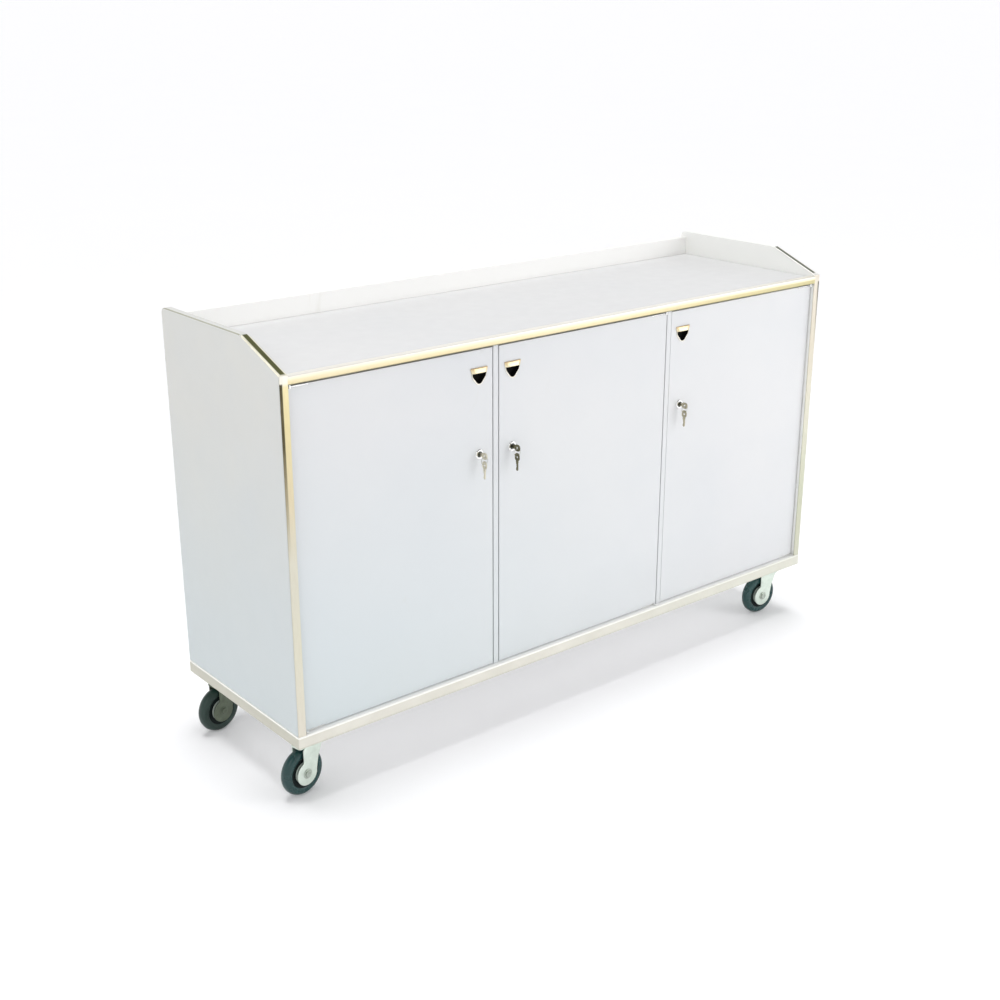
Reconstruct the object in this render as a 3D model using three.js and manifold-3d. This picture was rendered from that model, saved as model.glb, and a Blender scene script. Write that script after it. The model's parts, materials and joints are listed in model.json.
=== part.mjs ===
// Housekeeping cart: a laminate cabinet with three locking doors and a guarded worktop, on four swivel casters.
// Millimetres, +Z up, the floor at z = 0, the doors facing -Y, the cabinet's footprint centred on the origin.
import * as THREE from "three";
import { mergeVertices } from "three/addons/utils/BufferGeometryUtils.js";
import Module from "manifold-3d";

const wasm = await Module();
wasm.setup();

// Driving dimensions
const CART_WIDTH = 1500;
const CART_DEPTH = 445;
const BASE_BOTTOM = 128;
const BASE_TOP = 154;
const WORKTOP_TOP = 870.5;
const NOSING_TOP = 872.5;
const NOSING_HEIGHT = 16;
const NOSING_DEPTH = 20;
const SLOPE_START = 876;
const SLOPE_RUN = 131;
const SIDE_TOP = 927;
const GALLERY_TOP = 913;

const BOARD = 16;
const BASE_BAND = 3;
const GALLERY_THICKNESS = 18;
const BACK_THICKNESS = 12;
const DOOR_THICKNESS = 18;
const SIDE_INSET = 2;
const TRIM_SETBACK = 1;
const TRIM_HEAD = 3;
const SPINE_REACH = 11;
const SPINE_HALF = 1.2;
const DOOR_RECESS = 11;
const DOOR_GAP = 3;
const NARROW_GAP = 1.2;
const DOOR_BOTTOM_GAP = 2;
const DOOR_TOP_GAP = 3;
const DIVIDER_CENTRE = 246.8;
const DIVIDER = 12;
const SHELF_TOP = 506;
const SHELF_SETBACK = 42;
const GROOVE = 3.5;
const JOINT = 0.3;
const MERGE_DISTANCE = 1e-3;

const PULL_FROM_DIVIDER = 37;
const PULL_CENTRE_Z = 800;
const LOCK_Z = 635;
const CAM_LENGTH = 42;
const PIVOT_AHEAD = 3.6;
const PIVOT_INSET = 4.2;

const SWIVEL_FROM_END = 59;
const SWIVEL_FROM_EDGE = 53;
const WHEEL_RADIUS = 50;
const WHEEL_WIDTH = 24;
const TRAIL = 28;

// Places worked out from the driving dimensions
const FRONT = -CART_DEPTH / 2;
const BACK = CART_DEPTH / 2;
const SIDE_OUTER = CART_WIDTH / 2 - SIDE_INSET;
const SIDE_INNER = SIDE_OUTER - BOARD;
const TRIM_FRONT = FRONT + TRIM_SETBACK;
const SIDE_CENTRE = (SIDE_OUTER + SIDE_INNER) / 2;
const DOOR_FACE = FRONT + DOOR_RECESS;
const DOOR_BACK = DOOR_FACE + DOOR_THICKNESS;
const DOOR_BOTTOM = BASE_TOP + DOOR_BOTTOM_GAP;
const WORKTOP_BOTTOM = WORKTOP_TOP - BOARD;
const DOOR_TOP = WORKTOP_BOTTOM - DOOR_TOP_GAP;
const PANEL_BOTTOM = BASE_TOP + JOINT;
const BACK_FACE = BACK - 0.5;
const BACK_INNER = BACK_FACE - BACK_THICKNESS;
const PIVOT_Y = DOOR_FACE - PIVOT_AHEAD;

// Finishes
const FINISHES = {
  laminate: { color: 0xf1f2f1, roughness: 0.45, metalness: 0 },
  band: { color: 0xdcd7c6, roughness: 0.4, metalness: 0.1 },
  gold: { color: 0xdfc98d, roughness: 0.25, metalness: 0.9 },
  brass: { color: 0xd8b46a, roughness: 0.3, metalness: 0.9 },
  chrome: { color: 0xd9dcdc, roughness: 0.15, metalness: 1 },
  key: { color: 0x6b6a52, roughness: 0.35, metalness: 0.9 },
  zinc: { color: 0xc9d2c8, roughness: 0.4, metalness: 0.9 },
  hub: { color: 0xbcc6bd, roughness: 0.5, metalness: 0.2 },
  tyre: { color: 0x3b4a4a, roughness: 0.8, metalness: 0 },
};

const cart = new THREE.Group();

// Solids: three.js shapes go in, manifold-3d joins and cuts them, and a mesh comes out.
function solid(geometry) {
  const bare = geometry.index ? geometry.toNonIndexed() : geometry.clone();
  bare.deleteAttribute("normal");
  bare.deleteAttribute("uv");
  const merged = mergeVertices(bare, MERGE_DISTANCE);
  const vertProperties = new Float32Array(merged.getAttribute("position").array);
  const corners = Array.from(merged.index.array);
  const triVerts = new Uint32Array(corners.filter((_, i) => {
    const [a, b, c] = corners.slice(i - (i % 3), i - (i % 3) + 3);
    return a !== b && b !== c && c !== a;
  }));
  return new wasm.Manifold(new wasm.Mesh({ numProp: 3, vertProperties, triVerts }));
}

function join(...pieces) {
  return pieces.reduce((whole, piece) => whole.add(piece));
}

function cut(body, ...tools) {
  return tools.reduce((left, tool) => left.subtract(tool), body);
}

function addPart(name, body, finish) {
  const made = body.getMesh();
  const geometry = new THREE.BufferGeometry();
  geometry.setAttribute("position", new THREE.BufferAttribute(made.vertProperties, 3));
  geometry.setIndex(new THREE.BufferAttribute(made.triVerts, 1));
  geometry.computeVertexNormals();
  const mesh = new THREE.Mesh(geometry, new THREE.MeshStandardMaterial(FINISHES[finish]));
  mesh.name = name;
  cart.add(mesh);
}

// A box between two values on each axis.
function block([x0, x1], [y0, y1], [z0, z1]) {
  const box = new THREE.BoxGeometry(Math.abs(x1 - x0), Math.abs(y1 - y0), Math.abs(z1 - z0));
  box.translate((x0 + x1) / 2, (y0 + y1) / 2, (z0 + z1) / 2);
  return solid(box);
}

function polygon(points) {
  return new THREE.Shape(points.map(([x, y]) => new THREE.Vector2(x, y)));
}

function roundedRectangle(width, height, radius) {
  const [w, h] = [width / 2, height / 2];
  const shape = new THREE.Shape();
  shape.absarc(w - radius, h - radius, radius, 0, Math.PI / 2);
  shape.absarc(-w + radius, h - radius, radius, Math.PI / 2, Math.PI);
  shape.absarc(-w + radius, -h + radius, radius, Math.PI, 1.5 * Math.PI);
  shape.absarc(w - radius, -h + radius, radius, 1.5 * Math.PI, 2 * Math.PI);
  return shape;
}

// A shape drawn in X and Y, extruded up Z from z0 to z1.
function plate(shape, z0, z1, curveSegments = 6) {
  const geometry = new THREE.ExtrudeGeometry(shape, {
    depth: z1 - z0, bevelEnabled: false, curveSegments,
  });
  geometry.translate(0, 0, z0);
  return solid(geometry);
}

// A shape drawn in Y and Z, extruded along X from x0 to x1.
function profileAlongX(shape, x0, x1, curveSegments = 6) {
  const geometry = new THREE.ExtrudeGeometry(shape, {
    depth: x1 - x0, bevelEnabled: false, curveSegments,
  });
  geometry.rotateX(Math.PI / 2);
  geometry.rotateZ(Math.PI / 2);
  geometry.translate(x0, 0, 0);
  return solid(geometry);
}

// A shape drawn in X and Z, extruded along Y from y0 to y1.
function profileAlongY(shape, y0, y1, curveSegments = 6) {
  const geometry = new THREE.ExtrudeGeometry(shape, {
    depth: y1 - y0, bevelEnabled: false, curveSegments,
  });
  geometry.rotateX(Math.PI / 2);
  geometry.translate(0, y1, 0);
  return solid(geometry);
}

// A turned piece: profile points are [radius, height], with the axis along +Z.
function turned(profile, segments = 24) {
  const points = profile.map(([r, z]) => new THREE.Vector2(r, z));
  if (THREE.ShapeUtils.isClockWise(points)) points.reverse();
  const geometry = new THREE.LatheGeometry(points, segments);
  geometry.rotateX(Math.PI / 2);
  return solid(geometry);
}

function rod(radius, z0, z1, segments = 20) {
  return turned([[0, z0], [radius, z0], [radius, z1], [0, z1]], segments);
}

function tube(inner, outer, z0, z1, segments = 24) {
  return turned([[inner, z0], [outer, z0], [outer, z1], [inner, z1], [inner, z0]], segments);
}

// Turns a piece built along +Z so that its axis points along +Y or +X.
const alongY = (piece) => piece.rotate([-90, 0, 0]);
const alongX = (piece) => piece.rotate([0, 90, 0]);

// Cabinet ------------------------------------------------------------------------------------------

// The slope's unit direction, and the unit normal that points into the panel.
const slopeLength = Math.hypot(SLOPE_RUN, SIDE_TOP - SLOPE_START);
const slopeAlong = [SLOPE_RUN / slopeLength, (SIDE_TOP - SLOPE_START) / slopeLength];
const slopeInward = [slopeAlong[1], -slopeAlong[0]];

// The side panel's outline in Y and Z, moved in from the trim's outside by `inset`.
function sideOutline(inset) {
  const mitre = inset * (slopeInward[0] - 1) / slopeInward[1];
  const front = TRIM_FRONT + inset;
  const lowerCorner = [front, SLOPE_START - Math.abs(mitre)];
  const climb = (SIDE_TOP - lowerCorner[1]) / slopeAlong[1];
  const upperCorner = [front + climb * slopeAlong[0], SIDE_TOP];
  return { front, lowerCorner, upperCorner };
}

function sidePanelSolid(half, inset, bottom) {
  const { front, lowerCorner, upperCorner } = sideOutline(inset);
  const cornerRadius = 12;
  const shape = new THREE.Shape();
  shape.moveTo(front, bottom);
  shape.lineTo(BACK_FACE, bottom);
  shape.lineTo(BACK_FACE, SIDE_TOP - cornerRadius);
  shape.absarc(BACK_FACE - cornerRadius, SIDE_TOP - cornerRadius, cornerRadius, 0, Math.PI / 2);
  shape.lineTo(...upperCorner);
  shape.lineTo(...lowerCorner);
  shape.closePath();
  return profileAlongX(shape, -half, half);
}

// A strip of the front edge, reaching `depth` in from the trim's outside.
function frontStrip(half, depth, bottom) {
  const [outer, inner] = [sideOutline(0).lowerCorner, sideOutline(depth).lowerCorner];
  const outline = polygon([[TRIM_FRONT, bottom], [TRIM_FRONT + depth, bottom], inner, outer]);
  return profileAlongX(outline, -half, half);
}

// A strip of the slope, from `start` after the corner to `end` past the slope's top.
function slopeStrip(half, depth, start, end) {
  const along = ([y, z], distance) => [y + slopeAlong[0] * distance, z + slopeAlong[1] * distance];
  const outerTop = along(sideOutline(0).lowerCorner, slopeLength + end);
  const innerTop = [outerTop[0] + slopeInward[0] * depth, outerTop[1] + slopeInward[1] * depth];
  const outline = polygon([
    along(sideOutline(0).lowerCorner, start), along(sideOutline(depth).lowerCorner, start), innerTop, outerTop,
  ]);
  return profileAlongX(outline, -half, half);
}

function shelfGroove(x0, x1) {
  return block([x0, x1], [shelfFront - JOINT, BACK_INNER + 1], [SHELF_TOP - BOARD - JOINT, SHELF_TOP + JOINT]);
}

const shelfFront = DOOR_BACK + SHELF_SETBACK;
const shelfBack = BACK_INNER - JOINT;

// The board has a slot along its front edge and its slope for the spines of the trims.
function makeSidePanel(name, side) {
  const board = sidePanelSolid(BOARD / 2, TRIM_HEAD + JOINT, PANEL_BOTTOM);
  const [half, depth] = [SPINE_HALF + JOINT, SPINE_REACH + JOINT];
  const slotted = cut(board, frontStrip(half, depth, PANEL_BOTTOM - 1), slopeStrip(half, depth, 0, JOINT));
  const inner = side * SIDE_INNER;
  const groove = shelfGroove(inner - side, inner + side * GROOVE);
  addPart(name, cut(slotted.translate([side * SIDE_CENTRE, 0, 0]), groove), "laminate");
}

function makeCarcass() {
  const baseHalf = CART_WIDTH / 2 - BASE_BAND - JOINT;
  const baseFront = FRONT + BASE_BAND + JOINT;
  const inside = SIDE_INNER - JOINT;
  const base = block([-baseHalf, baseHalf], [baseFront, -baseFront], [BASE_BOTTOM, BASE_TOP]);
  const sockets = DOORS.map((door) => rod(2.6, BASE_TOP - 9, BASE_TOP + 1, 16)
    .translate([door.pivotX, PIVOT_Y, 0]));
  addPart("base_panel", cut(base, ...sockets), "laminate");

  const outside = plate(roundedRectangle(CART_WIDTH, CART_DEPTH, 4), BASE_BOTTOM, BASE_TOP);
  const clear = [baseHalf + JOINT, -baseFront + JOINT];
  const middle = block([-clear[0], clear[0]], [-clear[1], clear[1]], [BASE_BOTTOM - 1, BASE_TOP + 1]);
  addPart("base_edge_band", cut(outside, middle), "band");

  makeSidePanel("left_side_panel", -1);
  makeSidePanel("right_side_panel", 1);

  const backTop = WORKTOP_BOTTOM - JOINT;
  addPart("back_panel", block([-inside, inside], [BACK_INNER, BACK_FACE], [PANEL_BOTTOM, backTop]), "laminate");
  const worktopFront = TRIM_FRONT + NOSING_DEPTH + JOINT;
  const galleryFront = BACK_FACE - GALLERY_THICKNESS;
  const worktopBack = galleryFront - JOINT;
  const worktop = block([-inside, inside], [worktopFront, worktopBack], [WORKTOP_BOTTOM, WORKTOP_TOP]);
  addPart("worktop", worktop, "laminate");
  const gallery = block([-inside, inside], [galleryFront, BACK_FACE], [WORKTOP_BOTTOM, GALLERY_TOP]);
  addPart("back_gallery", gallery, "laminate");
}

// The dividers stand between the bays, grooved for the shelves and mortised where a lock's cam enters.
function makeDivider(name, centre, lockedFaces) {
  const [left, right] = [centre - DIVIDER / 2, centre + DIVIDER / 2];
  const body = block([left, right], [DOOR_FACE, shelfBack], [PANEL_BOTTOM, WORKTOP_BOTTOM - JOINT]);
  const grooves = [shelfGroove(left - 1, left + GROOVE), shelfGroove(right - GROOVE, right + 1)];
  const mortises = lockedFaces.map((face) => block(
    [centre + face * (DIVIDER / 2 - 6.5), centre + face * (DIVIDER / 2 + 1)],
    [CAM_Y - 2.5, CAM_Y + 3.5], [LOCK_Z - 29, LOCK_Z + 11]));
  addPart(name, cut(body, ...grooves, ...mortises), "laminate");
}

function makeShelf(name, left, right) {
  const reach = GROOVE - JOINT;
  addPart(name, block([left - reach, right + reach], [shelfFront, shelfBack],
    [SHELF_TOP - BOARD, SHELF_TOP]), "laminate");
}

// A T profile on a side panel's edge, its spine in the board's slot: one straight length, one on the slope.
function makeSideTrims(label, side) {
  const place = [side * SIDE_CENTRE, 0, 0];
  const frontHead = frontStrip(BOARD / 2, TRIM_HEAD, PANEL_BOTTOM);
  const frontSpine = frontStrip(SPINE_HALF, SPINE_REACH, PANEL_BOTTOM);
  addPart(`${label}_front_trim`, join(frontHead, frontSpine).translate(place), "gold");
  const slopeHead = slopeStrip(BOARD / 2, TRIM_HEAD, 0.4, 0);
  const slopeSpine = slopeStrip(SPINE_HALF, SPINE_REACH, 0.4, 0);
  addPart(`${label}_slope_trim`, join(slopeHead, slopeSpine).translate(place), "gold");
}

// The nosing along the worktop's front edge, with a rounded upper corner and the doors' top pivot holes.
function makeNosing() {
  const bottom = NOSING_TOP - NOSING_HEIGHT;
  const back = TRIM_FRONT + NOSING_DEPTH;
  const round = 4;
  const shape = new THREE.Shape();
  shape.moveTo(TRIM_FRONT, bottom);
  shape.lineTo(back, bottom);
  shape.lineTo(back, NOSING_TOP - 1);
  shape.lineTo(back - 1, NOSING_TOP);
  shape.lineTo(TRIM_FRONT + round, NOSING_TOP);
  shape.absarc(TRIM_FRONT + round, NOSING_TOP - round, round, Math.PI / 2, Math.PI);
  shape.closePath();
  const half = SIDE_INNER - JOINT;
  const sockets = DOORS.map((door) => rod(2.6, bottom - 1, bottom + 9, 16)
    .translate([door.pivotX, PIVOT_Y, 0]));
  addPart("worktop_nosing", cut(profileAlongX(shape, -half, half), ...sockets), "gold");
}

// Doors ---------------------------------------------------------------------------------------------

const dividerOuter = DIVIDER_CENTRE + DIVIDER / 2;
const dividerInner = DIVIDER_CENTRE - DIVIDER / 2;

// `hinge` is -1 for a door hinged on its left edge and 1 for one hinged on its right edge.
// `divider` is the X of the divider's face that the lock's cam enters.
function door(label, left, right, hinge, divider) {
  const hingeEdge = hinge < 0 ? left : right;
  return {
    label, left, right, hinge, hingeEdge,
    pivotX: hingeEdge - hinge * PIVOT_INSET,
    lockX: divider + hinge * PULL_FROM_DIVIDER,
  };
}

const DOORS = [
  door("left", -SIDE_INNER + DOOR_GAP, -dividerOuter - DOOR_GAP, -1, -dividerOuter),
  door("centre", -dividerInner + DOOR_GAP, dividerInner - DOOR_GAP, 1, -dividerInner),
  door("right", dividerOuter + NARROW_GAP, SIDE_INNER - DOOR_GAP, 1, dividerOuter),
];

const PULL = { halfWidth: 21.5, top: 19, foot: -19.5, openHalf: 17, openTop: 4.5, openFoot: -16.5 };
const CUP_DEPTH = 11;

// The finger opening: flat on top, with sides that run in to a rounded foot.
function fingerShape(halfWidth, top, foot) {
  const shape = new THREE.Shape();
  const knee = top - 0.4 * (top - foot);
  shape.moveTo(-halfWidth, top);
  shape.bezierCurveTo(-halfWidth, knee, -0.75 * halfWidth, knee - 1, -0.42 * halfWidth, foot + 4);
  shape.quadraticCurveTo(-0.2 * halfWidth, foot, 0, foot);
  shape.quadraticCurveTo(0.2 * halfWidth, foot, 0.42 * halfWidth, foot + 4);
  shape.bezierCurveTo(0.75 * halfWidth, knee - 1, halfWidth, knee, halfWidth, top);
  shape.closePath();
  return shape;
}

// The face plate: a shield, widest at its top edge.
function pullOutline() {
  const { halfWidth, top, foot, openTop } = PULL;
  const waist = 0.87 * halfWidth;
  const shape = new THREE.Shape();
  shape.moveTo(-halfWidth, top);
  shape.lineTo(-waist, openTop);
  shape.bezierCurveTo(-0.84 * halfWidth, -6, -0.6 * halfWidth, foot + 9, -0.36 * halfWidth, foot + 3);
  shape.quadraticCurveTo(-0.2 * halfWidth, foot, 0, foot);
  shape.quadraticCurveTo(0.2 * halfWidth, foot, 0.36 * halfWidth, foot + 3);
  shape.bezierCurveTo(0.6 * halfWidth, foot + 9, 0.84 * halfWidth, -6, waist, openTop);
  shape.lineTo(halfWidth, top);
  shape.closePath();
  return shape;
}

// A flush pull: a face plate with a cup behind its finger opening and a raised lip above it.
function makePull({ label, lockX }) {
  const wall = 1.2;
  const { openHalf, openTop, openFoot } = PULL;
  const faceBack = DOOR_FACE - JOINT;
  const face = profileAlongY(pullOutline(), faceBack - 1.8, faceBack, 4);
  const cup = profileAlongY(fingerShape(openHalf + wall, openTop + wall, openFoot - wall),
    faceBack - 0.5, faceBack + CUP_DEPTH, 4);
  const lip = profileAlongX(polygon([
    [faceBack - 1.5, PULL.top - 1], [faceBack - 1.5, openTop], [faceBack - 5, openTop],
    [faceBack - 5, openTop + 2.5],
  ]), -openHalf - 2, openHalf + 2);
  const hollow = profileAlongY(fingerShape(openHalf, openTop, openFoot),
    faceBack - 3, faceBack + CUP_DEPTH - wall, 4);
  const body = join(face, cup).subtract(hollow).add(lip);
  addPart(`pull_${label}`, body.translate([lockX, 0, PULL_CENTRE_Z]), "brass");
}

function pullPocket({ lockX }) {
  const margin = 1.6;
  const { openHalf, openTop, openFoot } = PULL;
  return profileAlongY(fingerShape(openHalf + margin, openTop + margin, openFoot - margin),
    DOOR_FACE - 1, DOOR_FACE + CUP_DEPTH + 0.4, 4).translate([lockX, 0, PULL_CENTRE_Z]);
}

// Pivot hardware: a plate let into the door's end, with an eye ahead of the face that carries the pin.
const PIVOT_PLATE = { thickness: 2.5, length: 46, width: 12, eye: 3.3, pin: 2.3, reach: 7 };

function pivotMortise({ hinge, hingeEdge }, end) {
  const outer = hingeEdge + hinge * 1;
  const inner = hingeEdge - hinge * (PIVOT_PLATE.length + 2 * JOINT);
  const depth = PIVOT_PLATE.thickness + JOINT;
  const z = end > 0 ? [DOOR_TOP - depth, DOOR_TOP + 1] : [DOOR_BOTTOM - 1, DOOR_BOTTOM + depth];
  return block([Math.min(outer, inner), Math.max(outer, inner)],
    [DOOR_FACE - 1, DOOR_FACE + PIVOT_PLATE.width + JOINT], z);
}

function makePivot(door, end) {
  const { thickness, length, width, eye, pin, reach } = PIVOT_PLATE;
  const { hinge, hingeEdge, pivotX, label } = door;
  const z0 = end > 0 ? DOOR_TOP - thickness : DOOR_BOTTOM;
  const near = hingeEdge - hinge * 0.5;
  const far = hingeEdge - hinge * length;
  const leaf = block([Math.min(near, far), Math.max(near, far)],
    [DOOR_FACE, DOOR_FACE + width], [z0, z0 + thickness]);
  const neck = block([pivotX - eye, pivotX + eye], [PIVOT_Y, DOOR_FACE + 1], [z0, z0 + thickness]);
  const boss = rod(eye, z0, z0 + thickness).translate([pivotX, PIVOT_Y, 0]);
  const pinZ = end > 0 ? [z0 + 1, DOOR_TOP + 4 + reach] : [DOOR_BOTTOM - DOOR_BOTTOM_GAP - reach, z0 + 1];
  const shaft = rod(pin, ...pinZ, 16).translate([pivotX, PIVOT_Y, 0]);
  addPart(`door_${label}_${end > 0 ? "top" : "bottom"}_pivot`, join(leaf, neck, boss, shaft), "zinc");
}

function makeDoor(door) {
  const { label, left, right, lockX } = door;
  const panel = block([left, right], [DOOR_FACE, DOOR_BACK], [DOOR_BOTTOM, DOOR_TOP]);
  const bore = alongY(rod(LOCK.body + JOINT, 0, DOOR_THICKNESS + 2));
  const lockHole = bore.translate([lockX, DOOR_FACE - 1, LOCK_Z]);
  const body = cut(panel, lockHole, pullPocket(door), pivotMortise(door, 1), pivotMortise(door, -1));
  addPart(`door_${label}`, body, "laminate");
  makePull(door);
  makePivot(door, 1);
  makePivot(door, -1);
  makeLock(door);
}

// Locks ---------------------------------------------------------------------------------------------

const LOCK = { bezel: 10.5, body: 8.5, plug: 6, barrelBack: 5.5, nut: 11.5 };
const CAM_Y = DOOR_BACK + LOCK.barrelBack + 1.5;
const KEY = { thickness: 2, bladeHeight: 6, bladeLength: 15, bowLength: 17, bowHeight: 14, hole: 2.7 };
const KEY_SHOULDER = 6.5;
const RING = { radius: 8.2, wire: 0.8 };

// A key along Y, its bow towards -Y with its centre at the origin, standing upright in the YZ plane.
function keyShape() {
  const { bowLength, bowHeight, bladeHeight, bladeLength, hole } = KEY;
  const tip = bowLength / 2 + KEY_SHOULDER + bladeLength;
  const half = KEY.thickness / 2;
  const bow = profileAlongX(roundedRectangle(bowLength, bowHeight, 5.8), -half, half, 3);
  const notch = (start, deep) => [
    [start, bladeHeight / 2], [start + 1.4, bladeHeight / 2 - deep],
    [start + 2.6, bladeHeight / 2 - deep], [start + 3.8, bladeHeight / 2],
  ];
  const blade = profileAlongX(polygon([
    [0, -bladeHeight / 2], [tip - 2, -bladeHeight / 2], [tip, 0], [tip - 1.5, bladeHeight / 2],
    ...notch(tip - 6.5, 1.2).reverse(), ...notch(tip - 11, 1.8).reverse(), [0, bladeHeight / 2],
  ]), -half, half);
  const eye = alongX(rod(hole, -3, 3, 14));
  return cut(join(bow, blade), eye);
}

function makeLock({ label, lockX }) {
  const place = [lockX, 0, LOCK_Z];
  const bore = LOCK.plug + 0.15;
  const bezelFront = DOOR_FACE - 2.3;
  const bodyBack = DOOR_BACK + LOCK.barrelBack;
  const nutFront = DOOR_BACK + JOINT;
  const barrel = turned([
    [bore, bezelFront], [LOCK.bezel - 1, bezelFront], [LOCK.bezel, bezelFront + 1],
    [LOCK.bezel, DOOR_FACE - JOINT], [LOCK.body, DOOR_FACE - JOINT], [LOCK.body, bodyBack],
    [bore, bodyBack], [bore, bezelFront],
  ], 18);
  const nut = tube(LOCK.body - 1, LOCK.nut, nutFront, nutFront + 3.5, 6);
  addPart(`lock_barrel_${label}`, alongY(join(barrel, nut)).translate(place), "chrome");

  const plugFront = bezelFront + 0.4;
  const plug = alongY(rod(LOCK.plug, plugFront, CAM_Y + 1, 16));
  const [slotHalf, slotHeight] = [KEY.thickness / 2 + 0.2, KEY.bladeHeight / 2 + 0.3];
  const keyway = block([-slotHalf, slotHalf],
    [plugFront - 1, plugFront + KEY.bladeLength + 2.5], [-slotHeight, slotHeight]);
  const camShape = roundedRectangle(13, CAM_LENGTH + 7, 4);
  const cam = profileAlongY(camShape, CAM_Y - 1, CAM_Y + 1).translate([0, 0, 7 - (CAM_LENGTH + 7) / 2]);
  const spindle = alongY(rod(5, CAM_Y - 1.5, CAM_Y + 4, 6));
  addPart(`lock_plug_${label}`, join(plug.subtract(keyway), cam, spindle).translate(place), "chrome");

  const bowY = plugFront - KEY_SHOULDER - KEY.bowLength / 2;
  addPart(`key_${label}`, keyShape().translate([lockX, bowY, LOCK_Z]), "key");

  // The ring hangs in the bow's hole, and the spare key hangs in the ring, its blade down.
  const wireInHole = KEY.hole - 0.35 - RING.wire;
  const ringZ = -wireInHole - RING.radius;
  const ring = alongY(solid(new THREE.TorusGeometry(RING.radius, RING.wire, 5, 20)));
  addPart(`key_ring_${label}`, ring.translate([lockX, bowY, LOCK_Z + ringZ]), "zinc");
  const spareZ = ringZ - RING.radius - wireInHole;
  const spare = keyShape().rotate([-90, 0, 0]);
  addPart(`spare_key_${label}`, spare.translate([lockX, bowY, LOCK_Z + spareZ]), "key");
}

// Casters -------------------------------------------------------------------------------------------

// `heading` is the direction in degrees, from +X about +Z, in which the wheel trails behind its swivel.
const CASTERS = [
  { label: "front_left", x: -1, y: -1, heading: 190 },
  { label: "back_left", x: -1, y: 1, heading: 190 },
  { label: "front_right", x: 1, y: -1, heading: 175 },
  { label: "back_right", x: 1, y: 1, heading: 20 },
];
const PLATE_THICKNESS = 3;
const LEG = { inner: 15.5, thickness: 2.6, rear: 35.5, foot: 25.5 };

// The fixed plate with four bolt holes and the upper race of the swivel.
function makeCasterPlate(label, position) {
  const top = BASE_BOTTOM - JOINT;
  const shape = roundedRectangle(92, 78, 7);
  for (const [sx, sy] of [[1, 1], [1, -1], [-1, 1], [-1, -1]]) {
    const hole = new THREE.Path();
    hole.absarc(sx * 36, sy * 29, 4, 0, 2 * Math.PI, true);
    shape.holes.push(hole);
  }
  const base = plate(shape, top - PLATE_THICKNESS, top, 3);
  const race = turned([
    [0, top - 1], [25, top - 1], [25, top - 6], [22, top - 8], [0, top - 8],
  ], 16);
  addPart(`caster_${label}_plate`, join(base, race).translate(position), "zinc");
}

// A fork leg's outline in X, towards the trail, and Z: a straight strap with a round foot over the hub.
function legOutline(crownTop) {
  const neck = Math.acos((LEG.rear - TRAIL) / LEG.foot);
  const shape = new THREE.Shape();
  shape.moveTo(-14, crownTop - 6);
  shape.lineTo(26, crownTop - 6);
  shape.lineTo(LEG.rear, crownTop - 17);
  shape.absarc(TRAIL, WHEEL_RADIUS, LEG.foot, neck, -1.03 * Math.PI, true);
  shape.lineTo(-2, WHEEL_RADIUS + 26);
  shape.lineTo(-14, crownTop - 13);
  shape.closePath();
  return shape;
}

// The swivelling fork: a crown under the race and two legs that reach back to the axle.
function makeFork(label, position, heading) {
  const top = BASE_BOTTOM - JOINT - 8.4;
  const crown = turned([[0, top], [27, top], [30, top - 3], [30, top - 8], [27, top - 11], [0, top - 11]], 20);
  const offset = LEG.inner + LEG.thickness / 2;
  const leg = profileAlongY(legOutline(top), -LEG.thickness / 2, LEG.thickness / 2, 9);
  const axle = alongY(rod(4, -offset, offset, 12)).translate([TRAIL, 0, WHEEL_RADIUS]);
  const boltHead = alongY(rod(7.5, -offset - 6, -offset, 6)).translate([TRAIL, 0, WHEEL_RADIUS]);
  const nut = alongY(rod(7.5, offset, offset + 6, 6)).translate([TRAIL, 0, WHEEL_RADIUS]);
  const fork = join(crown, leg.translate([0, offset, 0]), leg.translate([0, -offset, 0]), axle, boltHead, nut);
  addPart(`caster_${label}_fork`, fork.rotate([0, 0, heading]).translate(position), "zinc");
}

function makeWheel(label, position, heading) {
  const half = WHEEL_WIDTH / 2;
  const seat = 23;
  const tyre = turned([
    [seat + 0.3, -half + 2], [WHEEL_RADIUS - 9, -half], [WHEEL_RADIUS - 4, -half + 2],
    [WHEEL_RADIUS - 1, -half + 6.5], [WHEEL_RADIUS, 0], [WHEEL_RADIUS - 1, half - 6.5],
    [WHEEL_RADIUS - 4, half - 2], [WHEEL_RADIUS - 9, half], [seat + 0.3, half - 2],
    [seat + 0.3, -half + 2],
  ], 28);
  const hub = turned([
    [4.15, -14.5], [10, -14.5], [11, -9], [18, -8], [20, -10], [seat, -10],
    [seat, 10], [20, 10], [18, 8], [11, 9], [10, 14.5], [4.15, 14.5], [4.15, -14.5],
  ], 16);
  const place = (piece) => alongY(piece).translate([TRAIL, 0, WHEEL_RADIUS])
    .rotate([0, 0, heading]).translate(position);
  addPart(`caster_${label}_tyre`, place(tyre), "tyre");
  addPart(`caster_${label}_hub`, place(hub), "hub");
}

function makeCaster({ label, x, y, heading }) {
  const position = [x * (CART_WIDTH / 2 - SWIVEL_FROM_END), y * (CART_DEPTH / 2 - SWIVEL_FROM_EDGE), 0];
  makeCasterPlate(label, position);
  makeFork(label, position, heading);
  makeWheel(label, position, heading);
}

makeCarcass();
makeDivider("divider_left", -DIVIDER_CENTRE, [-1, 1]);
makeDivider("divider_right", DIVIDER_CENTRE, [1]);
makeShelf("shelf_left", -SIDE_INNER, -dividerOuter);
makeShelf("shelf_centre", -dividerInner, dividerInner);
makeShelf("shelf_right", dividerOuter, SIDE_INNER);
makeSideTrims("left", -1);
makeSideTrims("right", 1);
makeNosing();
DOORS.forEach(makeDoor);
CASTERS.forEach(makeCaster);

export default cart;
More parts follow.
